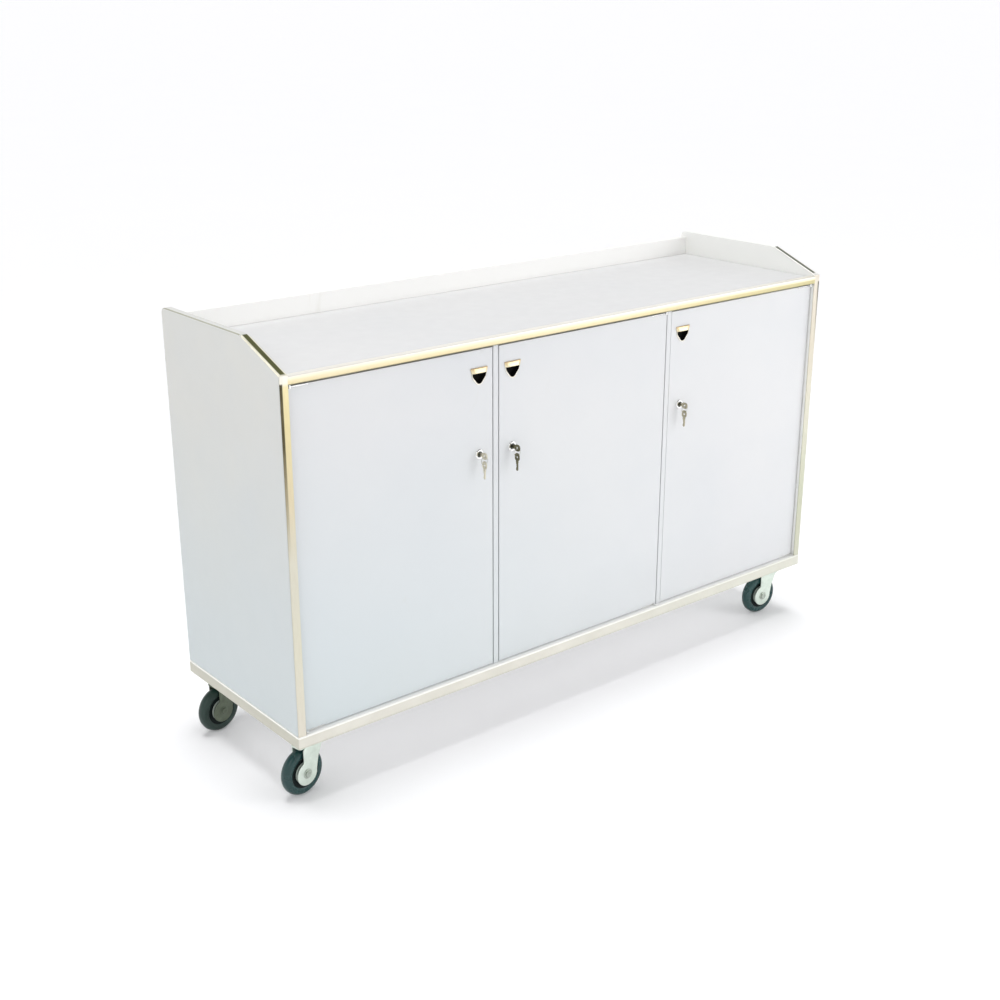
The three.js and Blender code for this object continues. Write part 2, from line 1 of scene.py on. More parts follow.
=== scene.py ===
"""Looks for the housekeeping cart: finer pieces, materials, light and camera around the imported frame."""

import json
import math

import bmesh
import bpy
from mathutils import Matrix, Vector


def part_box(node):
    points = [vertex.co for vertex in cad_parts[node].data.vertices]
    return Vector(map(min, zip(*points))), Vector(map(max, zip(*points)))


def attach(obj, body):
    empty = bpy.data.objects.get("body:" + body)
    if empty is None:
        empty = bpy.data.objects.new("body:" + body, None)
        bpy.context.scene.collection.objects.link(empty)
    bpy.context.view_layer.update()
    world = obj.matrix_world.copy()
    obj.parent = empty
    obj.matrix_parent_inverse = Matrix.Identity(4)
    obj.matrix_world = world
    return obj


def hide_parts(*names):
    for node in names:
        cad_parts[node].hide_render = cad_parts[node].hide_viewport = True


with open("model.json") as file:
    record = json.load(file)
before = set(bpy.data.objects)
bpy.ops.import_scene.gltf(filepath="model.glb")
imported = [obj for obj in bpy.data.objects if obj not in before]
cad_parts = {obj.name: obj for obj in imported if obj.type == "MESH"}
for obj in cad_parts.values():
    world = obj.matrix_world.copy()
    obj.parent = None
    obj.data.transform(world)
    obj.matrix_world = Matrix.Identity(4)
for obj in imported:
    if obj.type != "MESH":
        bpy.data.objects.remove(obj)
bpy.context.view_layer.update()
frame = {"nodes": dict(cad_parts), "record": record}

MM = 0.001
DOORS = ("left", "centre", "right")
CASTERS = ("front_left", "back_left", "front_right", "back_right")
JOINTS = {joint["name"]: joint for joint in frame["record"]["behaviour"]["joints"]}

# Camera: placed in metres and aimed in degrees in the frame of the cart, with its lens in millimetres.
CAMERA_PLACE = (-1.9863, -2.3396, 1.5181)
CAMERA_YAW = 39.44
CAMERA_PITCH = 19.83
CAMERA_LENS = 50.95

# Edges that turn by less than this are shaded smooth.
SMOOTH_UP_TO = math.radians(32)


# Places ------------------------------------------------------------------------------------------


def box_mm(node):
    """The lowest and highest corner of a CAD node, in millimetres."""
    low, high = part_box(node)
    return low / MM, high / MM


def middle_mm(node):
    low, high = box_mm(node)
    return (low + high) / 2


def corner_points(node, value):
    """The (y, z) place, in millimetres, of the vertex of a CAD node for which value is largest."""
    vertices = frame["nodes"][node].data.vertices
    best = max(vertices, key=lambda vertex: value(vertex.co / MM))
    return best.co.y / MM, best.co.z / MM


FACING_FRONT = Matrix.Rotation(math.radians(90), 4, "X")
ALONG_Y = Matrix.Rotation(math.radians(-90), 4, "X")


def at(x, y, z):
    return Matrix.Translation((x * MM, y * MM, z * MM))


# Meshes ------------------------------------------------------------------------------------------


def mesh_of(vertices, faces):
    mesh = bpy.data.meshes.new("shape")
    mesh.from_pydata([tuple(value * MM for value in vertex) for vertex in vertices], [], faces)
    mesh.update()
    return mesh


def soften(points, radius, steps=4):
    """A closed outline with each corner rounded; a round takes less than half of a side."""
    largest_share = 0.45
    rounded = []
    count = len(points)
    for i in range(count):
        before = Vector(points[i - 1])
        here = Vector(points[i])
        after = Vector(points[(i + 1) % count])
        back, ahead = before - here, after - here
        reach = min(radius, largest_share * back.length, largest_share * ahead.length)
        start = here + back.normalized() * reach
        end = here + ahead.normalized() * reach
        for step in range(steps + 1):
            t = step / steps
            point = start * (1 - t) ** 2 + here * 2 * t * (1 - t) + end * t * t
            rounded.append(tuple(point))
    return rounded


def circle(radius, segments=48):
    angles = [2 * math.pi * i / segments for i in range(segments)]
    return [(radius * math.cos(angle), radius * math.sin(angle)) for angle in angles]


def hexagon(across_flats):
    return circle(across_flats / math.sqrt(3), 6)


def rounded_rectangle(width, height, radius, steps=6):
    w, h = width / 2, height / 2
    return soften([(w, h), (-w, h), (-w, -h), (w, -h)], radius, steps)


def lathe(profile, segments=64):
    """A turned shape about Z from (radius, height) points; a radius of 0 is a point on the axis."""
    vertices, rings, faces = [], [], []
    for radius, height in profile:
        if radius == 0:
            rings.append([len(vertices)] * segments)
            vertices.append((0, 0, height))
            continue
        rings.append(list(range(len(vertices), len(vertices) + segments)))
        vertices += [(x, y, height) for x, y in circle(radius, segments)]
    for lower, upper in zip(rings, rings[1:]):
        for i in range(segments):
            j = (i + 1) % segments
            face = list(dict.fromkeys([lower[i], lower[j], upper[j], upper[i]]))
            if len(face) > 2:
                faces.append(face)
    return mesh_of(vertices, faces)


def closed_lathe(points, radius, segments=64, steps=4):
    """A turned ring whose section is a closed outline with rounded corners."""
    section = soften(points, radius, steps)
    return lathe(section + section[:1], segments)


def stamped(outline, holes, thickness, rounding):
    """A flat piece in X and Y, centred on Z = 0, with rounded edges and any holes."""
    curve = bpy.data.curves.new("outline", "CURVE")
    curve.dimensions = "2D"
    curve.fill_mode = "BOTH"
    curve.extrude = (thickness / 2 - rounding) * MM
    curve.bevel_depth = rounding * MM
    curve.bevel_resolution = 3
    curve.offset = -rounding * MM
    for ring in [outline, *holes]:
        spline = curve.splines.new("POLY")
        spline.points.add(len(ring) - 1)
        for point, (x, y) in zip(spline.points, ring):
            point.co = (x * MM, y * MM, 0, 1)
        spline.use_cyclic_u = True
    holder = bpy.data.objects.new("outline", curve)
    bpy.context.scene.collection.objects.link(holder)
    graph = bpy.context.evaluated_depsgraph_get()
    mesh = bpy.data.meshes.new_from_object(holder.evaluated_get(graph))
    bpy.data.objects.remove(holder)
    bpy.data.curves.remove(curve)
    return mesh


def between(sections):
    """A solid through a list of closed sections with the same number of 3-D points."""
    size = len(sections[0])
    vertices = [point for section in sections for point in section]
    faces = [list(range(size))[::-1]]
    for k in range(len(sections) - 1):
        for i in range(size):
            j = (i + 1) % size
            faces.append([k * size + i, k * size + j, (k + 1) * size + j, (k + 1) * size + i])
    last = (len(sections) - 1) * size
    faces.append([last + i for i in range(size)])
    return mesh_of(vertices, faces)


def wire(points, radius, sides=12):
    """A round wire along a path, with flat ends."""
    places = [Vector(point) for point in points]
    up = Vector((0, 1, 0))
    sections = []
    for i, place in enumerate(places):
        before = places[max(i - 1, 0)]
        after = places[min(i + 1, len(places) - 1)]
        along = (after - before).normalized()
        side = along.cross(up).normalized()
        lift = side.cross(along).normalized()
        ring = []
        for x, y in circle(radius, sides):
            ring.append(tuple(place + side * x + lift * y))
        sections.append(ring)
    return between(sections)


def moved(mesh, matrix):
    mesh.transform(matrix)
    return mesh


def piece(name, meshes, material, body, stands_for=()):
    """One visual piece made of meshes in the cart's frame, riding on a CAD body."""
    work = bmesh.new()
    for mesh in meshes:
        work.from_mesh(mesh)
        bpy.data.meshes.remove(mesh)
    bmesh.ops.remove_doubles(work, verts=work.verts, dist=1e-6)
    bmesh.ops.recalc_face_normals(work, faces=work.faces)
    made = bpy.data.meshes.new(name)
    work.to_mesh(made)
    work.free()
    made.polygons.foreach_set("use_smooth", [True] * len(made.polygons))
    made.set_sharp_from_angle(angle=SMOOTH_UP_TO)
    made.materials.clear()
    made.materials.append(material)
    obj = bpy.data.objects.new(name, made)
    bpy.context.scene.collection.objects.link(obj)
    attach(obj, body)
    if stands_for:
        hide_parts(*stands_for)
    return obj


# Materials ---------------------------------------------------------------------------------------
# Places, depths and radii are in millimetres here; the scale of a noise is a count per metre.


def set_stops(color_ramp, stops):
    """Gives a colour ramp its (position, tone) stops, each made at its final position."""
    elements = color_ramp.elements
    elements[0].position = stops[0][0]
    elements[1].position = stops[-1][0]
    for position, _ in stops[1:-1]:
        elements.new(position)
    for element, (_, tone) in zip(elements, stops):
        element.color = (*tone, 1)


def scaled(tone, factor):
    return tuple(min(1.0, value * factor) for value in tone)


class Shader:
    """A material's node tree, with short calls for the nodes used here."""

    def __init__(self, name, roughness=0.5, metallic=0.0):
        self.material = bpy.data.materials.new(name)
        self.material.use_nodes = True
        self.nodes = self.material.node_tree.nodes
        self.links = self.material.node_tree.links
        self.surface = self.nodes["Principled BSDF"]
        self.surface.inputs["Roughness"].default_value = roughness
        self.surface.inputs["Metallic"].default_value = metallic
        self.place = self.nodes.new("ShaderNodeTexCoord").outputs["Object"]

    def noise(self, scale, detail=3.0, rough=0.55, stretch=(1, 1, 1), distortion=0.0):
        mapping = self.nodes.new("ShaderNodeMapping")
        mapping.inputs["Scale"].default_value = stretch
        self.links.new(self.place, mapping.inputs["Vector"])
        texture = self.nodes.new("ShaderNodeTexNoise")
        texture.inputs["Scale"].default_value = scale
        texture.inputs["Detail"].default_value = detail
        texture.inputs["Roughness"].default_value = rough
        texture.inputs["Distortion"].default_value = distortion
        self.links.new(mapping.outputs["Vector"], texture.inputs["Vector"])
        return texture.outputs["Fac"]

    def axis(self, name):
        """One coordinate of the surface point, in metres."""
        split = self.nodes.new("ShaderNodeSeparateXYZ")
        self.links.new(self.place, split.inputs["Vector"])
        return split.outputs[name]

    def fade(self, axis, start, end, low=0.0, high=1.0):
        """Runs from low to high between two places on one axis."""
        return self.remap(self.axis(axis), start * MM, end * MM, low, high)

    def edge(self, radius):
        """1 on the sharp edges and 0 on the flats, over the given radius."""
        soft = self.nodes.new("ShaderNodeBevel")
        soft.samples = 4
        soft.inputs["Radius"].default_value = radius * MM
        hard = self.nodes.new("ShaderNodeNewGeometry").outputs["Normal"]
        dot = self.nodes.new("ShaderNodeVectorMath")
        dot.operation = "DOT_PRODUCT"
        self.links.new(soft.outputs["Normal"], dot.inputs[0])
        self.links.new(hard, dot.inputs[1])
        flat, sharp = 0.995, 0.85
        return self.remap(dot.outputs["Value"], flat, sharp, 0.0, 1.0)

    def remap(self, value, low, high, to_low, to_high):
        node = self.nodes.new("ShaderNodeMapRange")
        numbers = {"From Min": low, "From Max": high, "To Min": to_low, "To Max": to_high}
        for socket, number in numbers.items():
            node.inputs[socket].default_value = number
        self.links.new(value, node.inputs["Value"])
        return node.outputs["Result"]

    def math(self, operation, *values):
        node = self.nodes.new("ShaderNodeMath")
        node.operation = operation
        for socket, value in zip(node.inputs, values):
            if isinstance(value, (int, float)):
                socket.default_value = value
            else:
                self.links.new(value, socket)
        return node.outputs["Value"]

    def times(self, first, second):
        return self.math("MULTIPLY", first, second)

    def blend(self, factor, first, second, mode="MIX"):
        """Mixes two tones; the colour sockets of this node are inputs 6 and 7 and output 2."""
        node = self.nodes.new("ShaderNodeMix")
        node.data_type = "RGBA"
        node.blend_type = mode
        self.links.new(factor, node.inputs["Factor"])
        for socket, value in ((node.inputs[6], first), (node.inputs[7], second)):
            if isinstance(value, tuple):
                socket.default_value = (*value, 1)
            else:
                self.links.new(value, socket)
        return node.outputs[2]

    def ramp(self, value, stops):
        node = self.nodes.new("ShaderNodeValToRGB")
        set_stops(node.color_ramp, stops)
        self.links.new(value, node.inputs["Fac"])
        return node.outputs["Color"]

    def color(self, value):
        self.links.new(value, self.surface.inputs["Base Color"])

    def roughness(self, value):
        self.links.new(value, self.surface.inputs["Roughness"])

    def cloudy_roughness(self, scale, low, high):
        self.roughness(self.remap(self.noise(scale, 4.0), 0.3, 0.7, low, high))

    def bump(self, height, depth, strength, under=None):
        node = self.nodes.new("ShaderNodeBump")
        node.inputs["Distance"].default_value = depth * MM
        node.inputs["Strength"].default_value = strength
        self.links.new(height, node.inputs["Height"])
        if under is not None:
            self.links.new(under, node.inputs["Normal"])
        self.links.new(node.outputs["Normal"], self.surface.inputs["Normal"])
        return node.outputs["Normal"]

    def drawn_lines(self, stretch):
        """Fine lines left by drawing a metal profile, in its relief and as a value."""
        lines = self.noise(1400.0, 3.0, 0.6, stretch)
        self.bump(lines, 0.03, 0.5)
        return lines


GRUBBY = (0.62, 0.60, 0.53)
# Where the painted bluish shade on the boards comes in, in millimetres: heights from where it starts to
# where it is full, and X places likewise.
COOL_SHADE_HEIGHTS = (750, 180)
COOL_SHADE_REACH = (450, -650)


def laminate(name, light, shade, dirt_level=150, outside=None, cool_shade=None, rim=None):
    """White melamine: cloudy tone, a pearl grain, faint scuffs, and a little dirt low down.

    The dirt is thickest at dirt_level. outside is the tone of the faces beyond a place on one axis:
    (axis, place, tone). cool is a bluish tone of painted shade that comes in towards the lower left.
    rim is a thin line near the outer top edge of the left board: (outer X, top Z, tone)."""
    shader = Shader(name)
    cloud = shader.remap(shader.noise(2.2, 4.0), 0.35, 0.65, 0.0, 1.0)
    base = shader.blend(cloud, light, shade)
    # outside gives the faces beyond a place another tone, which keeps the board's painted light off them.
    if outside:
        axis, start, tone = outside
        base = shader.blend(shader.fade(axis, start, start + 0.3), base, tone)
    # Painted shade: a bluish tone coming in low down and towards the left.
    if cool_shade:
        lower = shader.fade("Z", *COOL_SHADE_HEIGHTS, 0.0, 0.9)
        leftward = shader.fade("X", *COOL_SHADE_REACH)
        base = shader.blend(shader.times(lower, leftward), base, cool_shade)
    if rim:
        outer_x, top_z, tone = rim
        top = shader.fade("Z", top_z - 1.4, top_z - 0.6, 0.0, 0.75)
        outer = shader.fade("X", outer_x + 3.4, outer_x + 2.6)
        base = shader.blend(shader.times(top, outer), base, tone)
    speck = shader.remap(shader.noise(420.0, 2.0), 0.62, 0.8, 0.0, 0.10)
    base = shader.blend(speck, base, shade, "MULTIPLY")
    scuff_shape = shader.noise(14.0, 7.0, 0.62, (1.0, 1.0, 0.32), 1.3)
    base = shader.blend(shader.remap(scuff_shape, 0.66, 0.80, 0.0, 0.22), base, GRUBBY)
    rubbed = shader.remap(shader.noise(60.0, 4.0), 0.45, 0.7, 0.0, 0.35)
    base = shader.blend(shader.times(shader.edge(1.6), rubbed), base, GRUBBY)
    low = shader.fade("Z", dirt_level + 160, dirt_level, 0.0, 0.16)
    base = shader.blend(shader.times(low, shader.noise(9.0, 5.0)), base, GRUBBY)
    shader.color(base)
    shader.roughness(shader.remap(shader.noise(30.0, 5.0), 0.3, 0.75, 0.32, 0.48))
    grain = shader.bump(shader.noise(900.0, 3.0), 0.04, 0.5)
    shader.bump(shader.noise(55.0, 2.0), 0.12, 0.25, grain)
    return shader.material


def cast_metal(name, tone, dark, roughness, metallic=1.0, spots=90.0):
    """Plated or cast metal with a mottled finish, darker in its pits and brighter on its edges."""
    shader = Shader(name, metallic=metallic)
    mottled = shader.remap(shader.noise(spots, 5.0, 0.65), 0.35, 0.7, 0.0, 0.75)
    base = shader.blend(mottled, tone, dark)
    grime = shader.remap(shader.noise(24.0, 4.0), 0.55, 0.8, 0.0, 0.45)
    base = shader.blend(grime, base, scaled(dark, 0.55))
    base = shader.blend(shader.times(shader.edge(0.7), 0.7), base, scaled(tone, 1.12))
    shader.color(base)
    shader.cloudy_roughness(130.0, *roughness)
    shader.bump(shader.noise(700.0, 3.0), 0.04, 0.4)
    return shader.material


def moulded(name, tone, dusty, roughness, grain=800.0, shine=0.5):
    """Moulded plastic or rubber: fine grain, dust in patches, rubbed edges."""
    shader = Shader(name)
    shader.surface.inputs["Specular IOR Level"].default_value = shine
    patches = shader.remap(shader.noise(18.0, 5.0, 0.6), 0.4, 0.72, 0.0, 0.55)
    base = shader.blend(patches, tone, dusty)
    base = shader.blend(shader.remap(shader.noise(260.0, 3.0), 0.6, 0.8, 0.0, 0.35), base, dusty)
    base = shader.blend(shader.times(shader.edge(1.0), 0.5), base, dusty)
    shader.color(base)
    shader.cloudy_roughness(40.0, *roughness)
    shader.bump(shader.noise(grain, 2.0), 0.06, 0.5)
    return shader.material


# Tones along a trim, a nosing or a pull, from its lower end to its upper end. Over the gold they paint
# reflection, highlight and shade: the trims' tones change with height as painted reflection, with a
# painted highlight at the top of the left trim; the nosing has a painted shadow line beneath and a
# painted highlight on its upper edge; the pull has a painted highlight round its opening and painted
# shade at its upper edge.
TRIM_TONE_HEIGHTS = (150, 880)
LEFT_TRIM_TONES = [
    (0.0, (0.74, 0.70, 0.61)), (0.25, (0.70, 0.68, 0.56)), (0.5, (0.68, 0.66, 0.56)),
    (0.68, (0.71, 0.62, 0.42)), (0.86, (0.78, 0.68, 0.38)), (0.965, (0.88, 0.78, 0.46)),
    (0.975, (0.94, 0.91, 0.80)), (1.0, (0.95, 0.93, 0.86)),
]
RIGHT_TRIM_TONES = [
    (0.0, (0.60, 0.61, 0.50)), (0.25, (0.58, 0.61, 0.48)), (0.5, (0.70, 0.69, 0.57)),
    (0.75, (0.74, 0.69, 0.58)), (1.0, (0.82, 0.76, 0.66)),
]
NOSING_TONES = [
    (0.0, (0.13, 0.12, 0.06)), (0.09, (0.16, 0.14, 0.07)), (0.15, (0.78, 0.67, 0.38)),
    (0.45, (0.85, 0.74, 0.46)), (0.70, (0.94, 0.87, 0.66)), (1.0, (0.95, 0.93, 0.87)),
]
PULL_TONES = [
    (0.0, (0.93, 0.91, 0.82)), (0.10, (0.82, 0.74, 0.52)), (0.45, (0.80, 0.70, 0.44)),
    (0.80, (0.68, 0.52, 0.30)), (0.95, (0.40, 0.28, 0.16)), (1.0, (0.62, 0.50, 0.32)),
]


def trim_metal(side, tones, shade_side, shade_heights):
    """Gold front trim: its tone changes with height as painted reflection, with a dark line of painted
    shade along one shoulder.

    shade_side is -1 for the shoulder at the lower X and 1 for the other one. The line comes in
    between the two shade_heights and stops below the trim's top."""
    low, high = box_mm(f"{side}_front_trim")
    middle = (low.x + high.x) / 2
    half = shade_side * (high.x - low.x) / 2
    shader = Shader(f"{side}_gold_trim", metallic=0.75)
    # Painted reflection: the gold's tone changes with height.
    tone = shader.ramp(shader.fade("Z", *TRIM_TONE_HEIGHTS), tones)
    lines = shader.drawn_lines((1.0, 1.0, 0.02))
    tone = shader.blend(shader.remap(lines, 0.35, 0.75, 0.0, 0.14), tone, (0.14, 0.11, 0.05))
    cloud = shader.remap(shader.noise(9.0, 5.0, 0.6, (1.0, 1.0, 0.5)), 0.42, 0.72, 0.0, 0.20)
    tone = shader.blend(cloud, tone, (0.62, 0.56, 0.38))
    # Painted shade: a dark line along one shoulder, fading in between shade_heights and out below the top.
    shoulder = shader.fade("X", middle + 0.32 * half, middle + 0.50 * half)
    height = shader.times(shader.fade("Z", *shade_heights), shader.fade("Z", high.z - 14, high.z - 17))
    wander = shader.remap(shader.noise(16.0, 4.0, 0.6, (1.0, 1.0, 0.4)), 0.25, 0.6, 0.7, 1.0)
    line = shader.times(shader.times(shoulder, height), wander)
    shader.color(shader.blend(line, tone, (0.035, 0.028, 0.010)))
    shader.cloudy_roughness(45.0, 0.29, 0.4)
    return shader.material


def slope_metal(side, core, pale, shift, half_core, foot_height):
    """Slope trim: a polished core painted dark as reflection, between pale beads painted as highlights,
    with a pale lower end.

    shift moves the middle of the core in X, half_core is the half width of the core, and
    foot_height is how far the pale end reaches above the trim's lowest point."""
    low, high = box_mm(f"{side}_slope_trim")
    middle = (low.x + high.x) / 2 + shift
    shader = Shader(f"{side}_slope_trim", metallic=0.5)
    across = shader.math("ABSOLUTE", shader.math("SUBTRACT", shader.axis("X"), middle * MM))
    # Painted highlights: the pale beads along both edges.
    bead = shader.remap(across, (half_core - 0.6) * MM, (half_core + 0.6) * MM, 0.0, 1.0)
    foot = shader.fade("Z", low.z + foot_height + 1.5, low.z + foot_height)
    lines = shader.drawn_lines((1.0, 0.02, 0.05))
    tone = shader.blend(shader.remap(lines, 0.35, 0.75, 0.0, 0.35), core, scaled(core, 1.7))
    shader.color(shader.blend(shader.math("MAXIMUM", bead, foot), tone, pale))
    shader.cloudy_roughness(45.0, 0.28, 0.42)
    return shader.material


def edge_band():
    """Beige plastic band: a cloudy face with scuffs, a painted highlight along its upper edge, and painted
    shade on its left end, its lower edge and towards the right.
    """
    low, high = box_mm("base_edge_band")
    shader = Shader("beige_edge_band")
    cloud = shader.remap(shader.noise(11.0, 5.0, 0.6, (1.0, 1.0, 2.0)), 0.35, 0.7, 0.0, 1.0)
    face = shader.blend(cloud, (0.78, 0.76, 0.68), (0.70, 0.68, 0.60))
    # Painted highlight along the upper edge.
    face = shader.blend(shader.fade("Z", high.z - 4.5, high.z - 2.8), face, (0.98, 0.975, 0.93))
    # Painted shade darkens the lower edge.
    face = shader.blend(shader.fade("Z", low.z + 4.5, low.z + 1.5, 0.0, 0.5), face, (0.50, 0.48, 0.38))
    # Painted shade on the band's left end, below its lip.
    left_end = shader.fade("X", low.x + 1.2, low.x + 0.4, 0.0, 0.8)
    below_lip = shader.fade("Z", high.z - 2.0, high.z - 4.0)
    face = shader.blend(shader.times(left_end, below_lip), face, (0.52, 0.51, 0.42))
    # Painted shade: darker and greener towards the right.
    face = shader.blend(shader.fade("X", -100, 700, 0.0, 0.45), face, (0.62, 0.64, 0.54))
    scuff = shader.remap(shader.noise(38.0, 6.0, 0.65, (0.3, 0.3, 1.0)), 0.62, 0.85, 0.0, 0.18)
    shader.color(shader.blend(scuff, face, (0.60, 0.58, 0.50)))
    shader.cloudy_roughness(40.0, 0.29, 0.42)
    shader.bump(shader.noise(500.0, 2.0), 0.03, 0.5)
    return shader.material


def nosing_metal():
    """Gold worktop nosing: a warm face, a painted highlight on its upper edge, a painted shadow line
    beneath, and painted shade to the right of its lower face.
    """
    low, high = box_mm("worktop_nosing")
    shader = Shader("gold_nosing", metallic=0.8)
    # Painted shadow beneath and painted highlight on the upper edge, by height.
    tone = shader.ramp(shader.fade("Z", low.z, high.z), NOSING_TONES)
    cloud = shader.remap(shader.noise(7.0, 4.0, 0.6, (0.4, 1.0, 1.0)), 0.35, 0.68, 0.0, 0.30)
    tone = shader.blend(cloud, tone, (0.93, 0.86, 0.70))
    # Painted shade: the lower face darker and more olive towards the right.
    right = shader.fade("X", 100, 720, 0.0, 0.8)
    lower = shader.fade("Z", high.z - 5.5, high.z - 8.5)
    tone = shader.blend(shader.times(right, lower), tone, (0.60, 0.55, 0.28))
    lines = shader.drawn_lines((0.02, 1.0, 1.0))
    shader.color(shader.blend(shader.remap(lines, 0.4, 0.75, 0.0, 0.12), tone, (0.6, 0.5, 0.28)))
    shader.cloudy_roughness(45.0, 0.29, 0.38)
    return shader.material


def pull_metal():
    """Gold pull: a warm tab, with painted shade along its brown upper edge and a painted highlight on the
    pale rim round the opening.
    """
    top = box_mm("pull_left")[1].z
    shader = Shader("gold_pull", metallic=0.7)
    # Painted highlight on the rim low down and painted shade at the tab's upper edge, by height.
    tone = shader.ramp(shader.fade("Z", top - 15.4, top - 2.8), PULL_TONES)
    cloud = shader.remap(shader.noise(90.0, 3.0), 0.4, 0.7, 0.0, 0.35)
    tone = shader.blend(cloud, tone, (0.80, 0.66, 0.42))
    tone = shader.blend(shader.times(shader.edge(0.6), 0.5), tone, (0.90, 0.86, 0.72))
    shader.color(tone)
    shader.drawn_lines((0.02, 1.0, 1.0))
    shader.cloudy_roughness(60.0, 0.29, 0.4)
    return shader.material


def laminates():
    left_low, left_high = box_mm("left_side_panel")
    right_outer = box_mm("right_side_panel")[1].x
    gallery_back = box_mm("back_gallery")[1].y
    # One white melamine in lit and shaded copies: each board's tone is painted light or shade. The right
    # board's inner faces, the gallery's front and the base are painted lighter; the left side, the worktop
    # and the doors carry painted shade; the outside tones keep that painted light off the right board's
    # outer face and the gallery's back.
    return {
        "door": laminate("door_laminate", (0.735, 0.740, 0.745), (0.695, 0.710, 0.725),
                         cool_shade=(0.62, 0.69, 0.71)),
        "side": laminate("side_laminate", (0.665, 0.66, 0.615), (0.62, 0.635, 0.625),
                         cool_shade=(0.58, 0.645, 0.665), rim=(left_low.x, left_high.z, (0.22, 0.22, 0.10))),
        "right_side": laminate("right_side_laminate", (0.965, 0.97, 0.94), (0.95, 0.955, 0.925),
                               outside=("X", right_outer - 0.6, (0.66, 0.665, 0.64))),
        "top": laminate("worktop_laminate", (0.715, 0.715, 0.715), (0.695, 0.70, 0.705)),
        "gallery": laminate("gallery_laminate", (0.97, 0.965, 0.945), (0.955, 0.95, 0.93),
                            outside=("Y", gallery_back - 0.8, (0.80, 0.80, 0.79))),
        "inside": laminate("inner_laminate", (0.80, 0.80, 0.79), (0.76, 0.765, 0.76)),
        "base": laminate("base_laminate", (0.96, 0.96, 0.95), (0.95, 0.95, 0.94), dirt_level=0),
    }


def trim_materials():
    return {
        "band": edge_band(),
        "nosing": nosing_metal(),
        "pull": pull_metal(),
        "left_trim": trim_metal("left", LEFT_TRIM_TONES, -1, (520, 740)),
        "right_trim": trim_metal("right", RIGHT_TRIM_TONES, 1, (700, 860)),
        # The slope trims' dark cores are painted reflection; their pale tones, painted highlights on the
        # beads, also go on the lower ends.
        "left_slope": slope_metal("left", (0.10, 0.105, 0.035), (0.93, 0.90, 0.74), 0.6, 5.0, 7.9),
        "right_slope": slope_metal("right", (0.13, 0.14, 0.10), (0.95, 0.94, 0.90), -1.5, 4.5, 10.4),
    }


def fitting_materials():
    return {
        "cup": moulded("black_pull_cup", (0.003, 0.003, 0.003), (0.008, 0.007, 0.006), (0.6, 0.8),
                       shine=0.1),
        "chrome": cast_metal("lock_chrome", (0.92, 0.92, 0.91), (0.78, 0.79, 0.77), (0.14, 0.26)),
        "plug": cast_metal("lock_plug_metal", (0.12, 0.125, 0.11), (0.05, 0.05, 0.045), (0.29, 0.4)),
        "key_left": cast_metal("pale_key_metal", (0.80, 0.76, 0.62), (0.60, 0.56, 0.44), (0.3, 0.45)),
        "key_centre": cast_metal("olive_key_metal", (0.20, 0.19, 0.12), (0.10, 0.095, 0.06), (0.3, 0.45)),
        "key_right": cast_metal("tan_key_metal", (0.52, 0.48, 0.36), (0.34, 0.32, 0.23), (0.3, 0.45)),
        "ring": cast_metal("ring_steel", (0.60, 0.60, 0.56), (0.36, 0.36, 0.32), (0.29, 0.36)),
    }


def caster_materials():
    return {
        "zinc": cast_metal("zinc_plate", (0.74, 0.82, 0.74), (0.58, 0.66, 0.58), (0.3, 0.46), 0.6, 60.0),
        # Painted shade: a darker copy of the zinc for the back casters, which stand in the cart's shade; it
        # also serves their axle bolts.
        "shaded_zinc": cast_metal("shaded_zinc_plate", (0.15, 0.18, 0.13), (0.09, 0.11, 0.075), (0.36, 0.52),
                                  0.5, 60.0),
        "bolt": cast_metal("caster_bolt", (0.56, 0.61, 0.55), (0.36, 0.40, 0.35), (0.29, 0.42)),
        "hub": moulded("wheel_core", (0.60, 0.68, 0.61), (0.48, 0.55, 0.48), (0.3, 0.5)),
        "tyre": moulded("tyre_rubber", (0.008, 0.044, 0.043), (0.022, 0.082, 0.076), (0.22, 0.36), 600.0),
        # Painted shade: a darker copy of the tyre for the back casters.
        "shaded_tyre": moulded("shaded_back_tyre_rubber", (0.008, 0.028, 0.021), (0.018, 0.048, 0.036), (0.3, 0.5),
                               600.0),
        "seat": moulded("tyre_seat_rubber", (0.003, 0.008, 0.008), (0.008, 0.016, 0.014), (0.5, 0.7),
                        shine=0.2),
    }


MATERIALS = laminates() | trim_materials() | fitting_materials() | caster_materials()


# Cabinet -----------------------------------------------------------------------------------------


def dress(node, material, edge_radius):
    """Gives a CAD node its material, and a small rounded edge unless edge_radius is 0."""
    obj = frame["nodes"][node]
    obj.data.materials.clear()
    obj.data.materials.append(material)
    if edge_radius:
        bevel = obj.modifiers.new("edge", "BEVEL")
        bevel.width = edge_radius * MM
        bevel.segments = 2
        bevel.limit_method = "ANGLE"
        bevel.angle_limit = math.radians(40)
        bevel.use_clamp_overlap = True
        bevel.harden_normals = True


def dress_boards():
    dress("left_side_panel", MATERIALS["side"], 0.5)
    dress("right_side_panel", MATERIALS["right_side"], 0.5)
    dress("worktop", MATERIALS["top"], 0.4)
    dress("back_gallery", MATERIALS["gallery"], 0.8)
    dress("base_panel", MATERIALS["base"], 0.4)
    for node in ("back_panel", "shelf_left", "shelf_centre", "shelf_right"):
        dress(node, MATERIALS["inside"], 0.4)
    for node in ("divider_left", "divider_right"):
        dress(node, MATERIALS["door"], 0.4)
    for door in DOORS:
        dress(f"door_{door}", MATERIALS["door"], 0.5)
        for end in ("top", "bottom"):
            dress(f"door_{door}_{end}_pivot", MATERIALS["chrome"], 0.0)


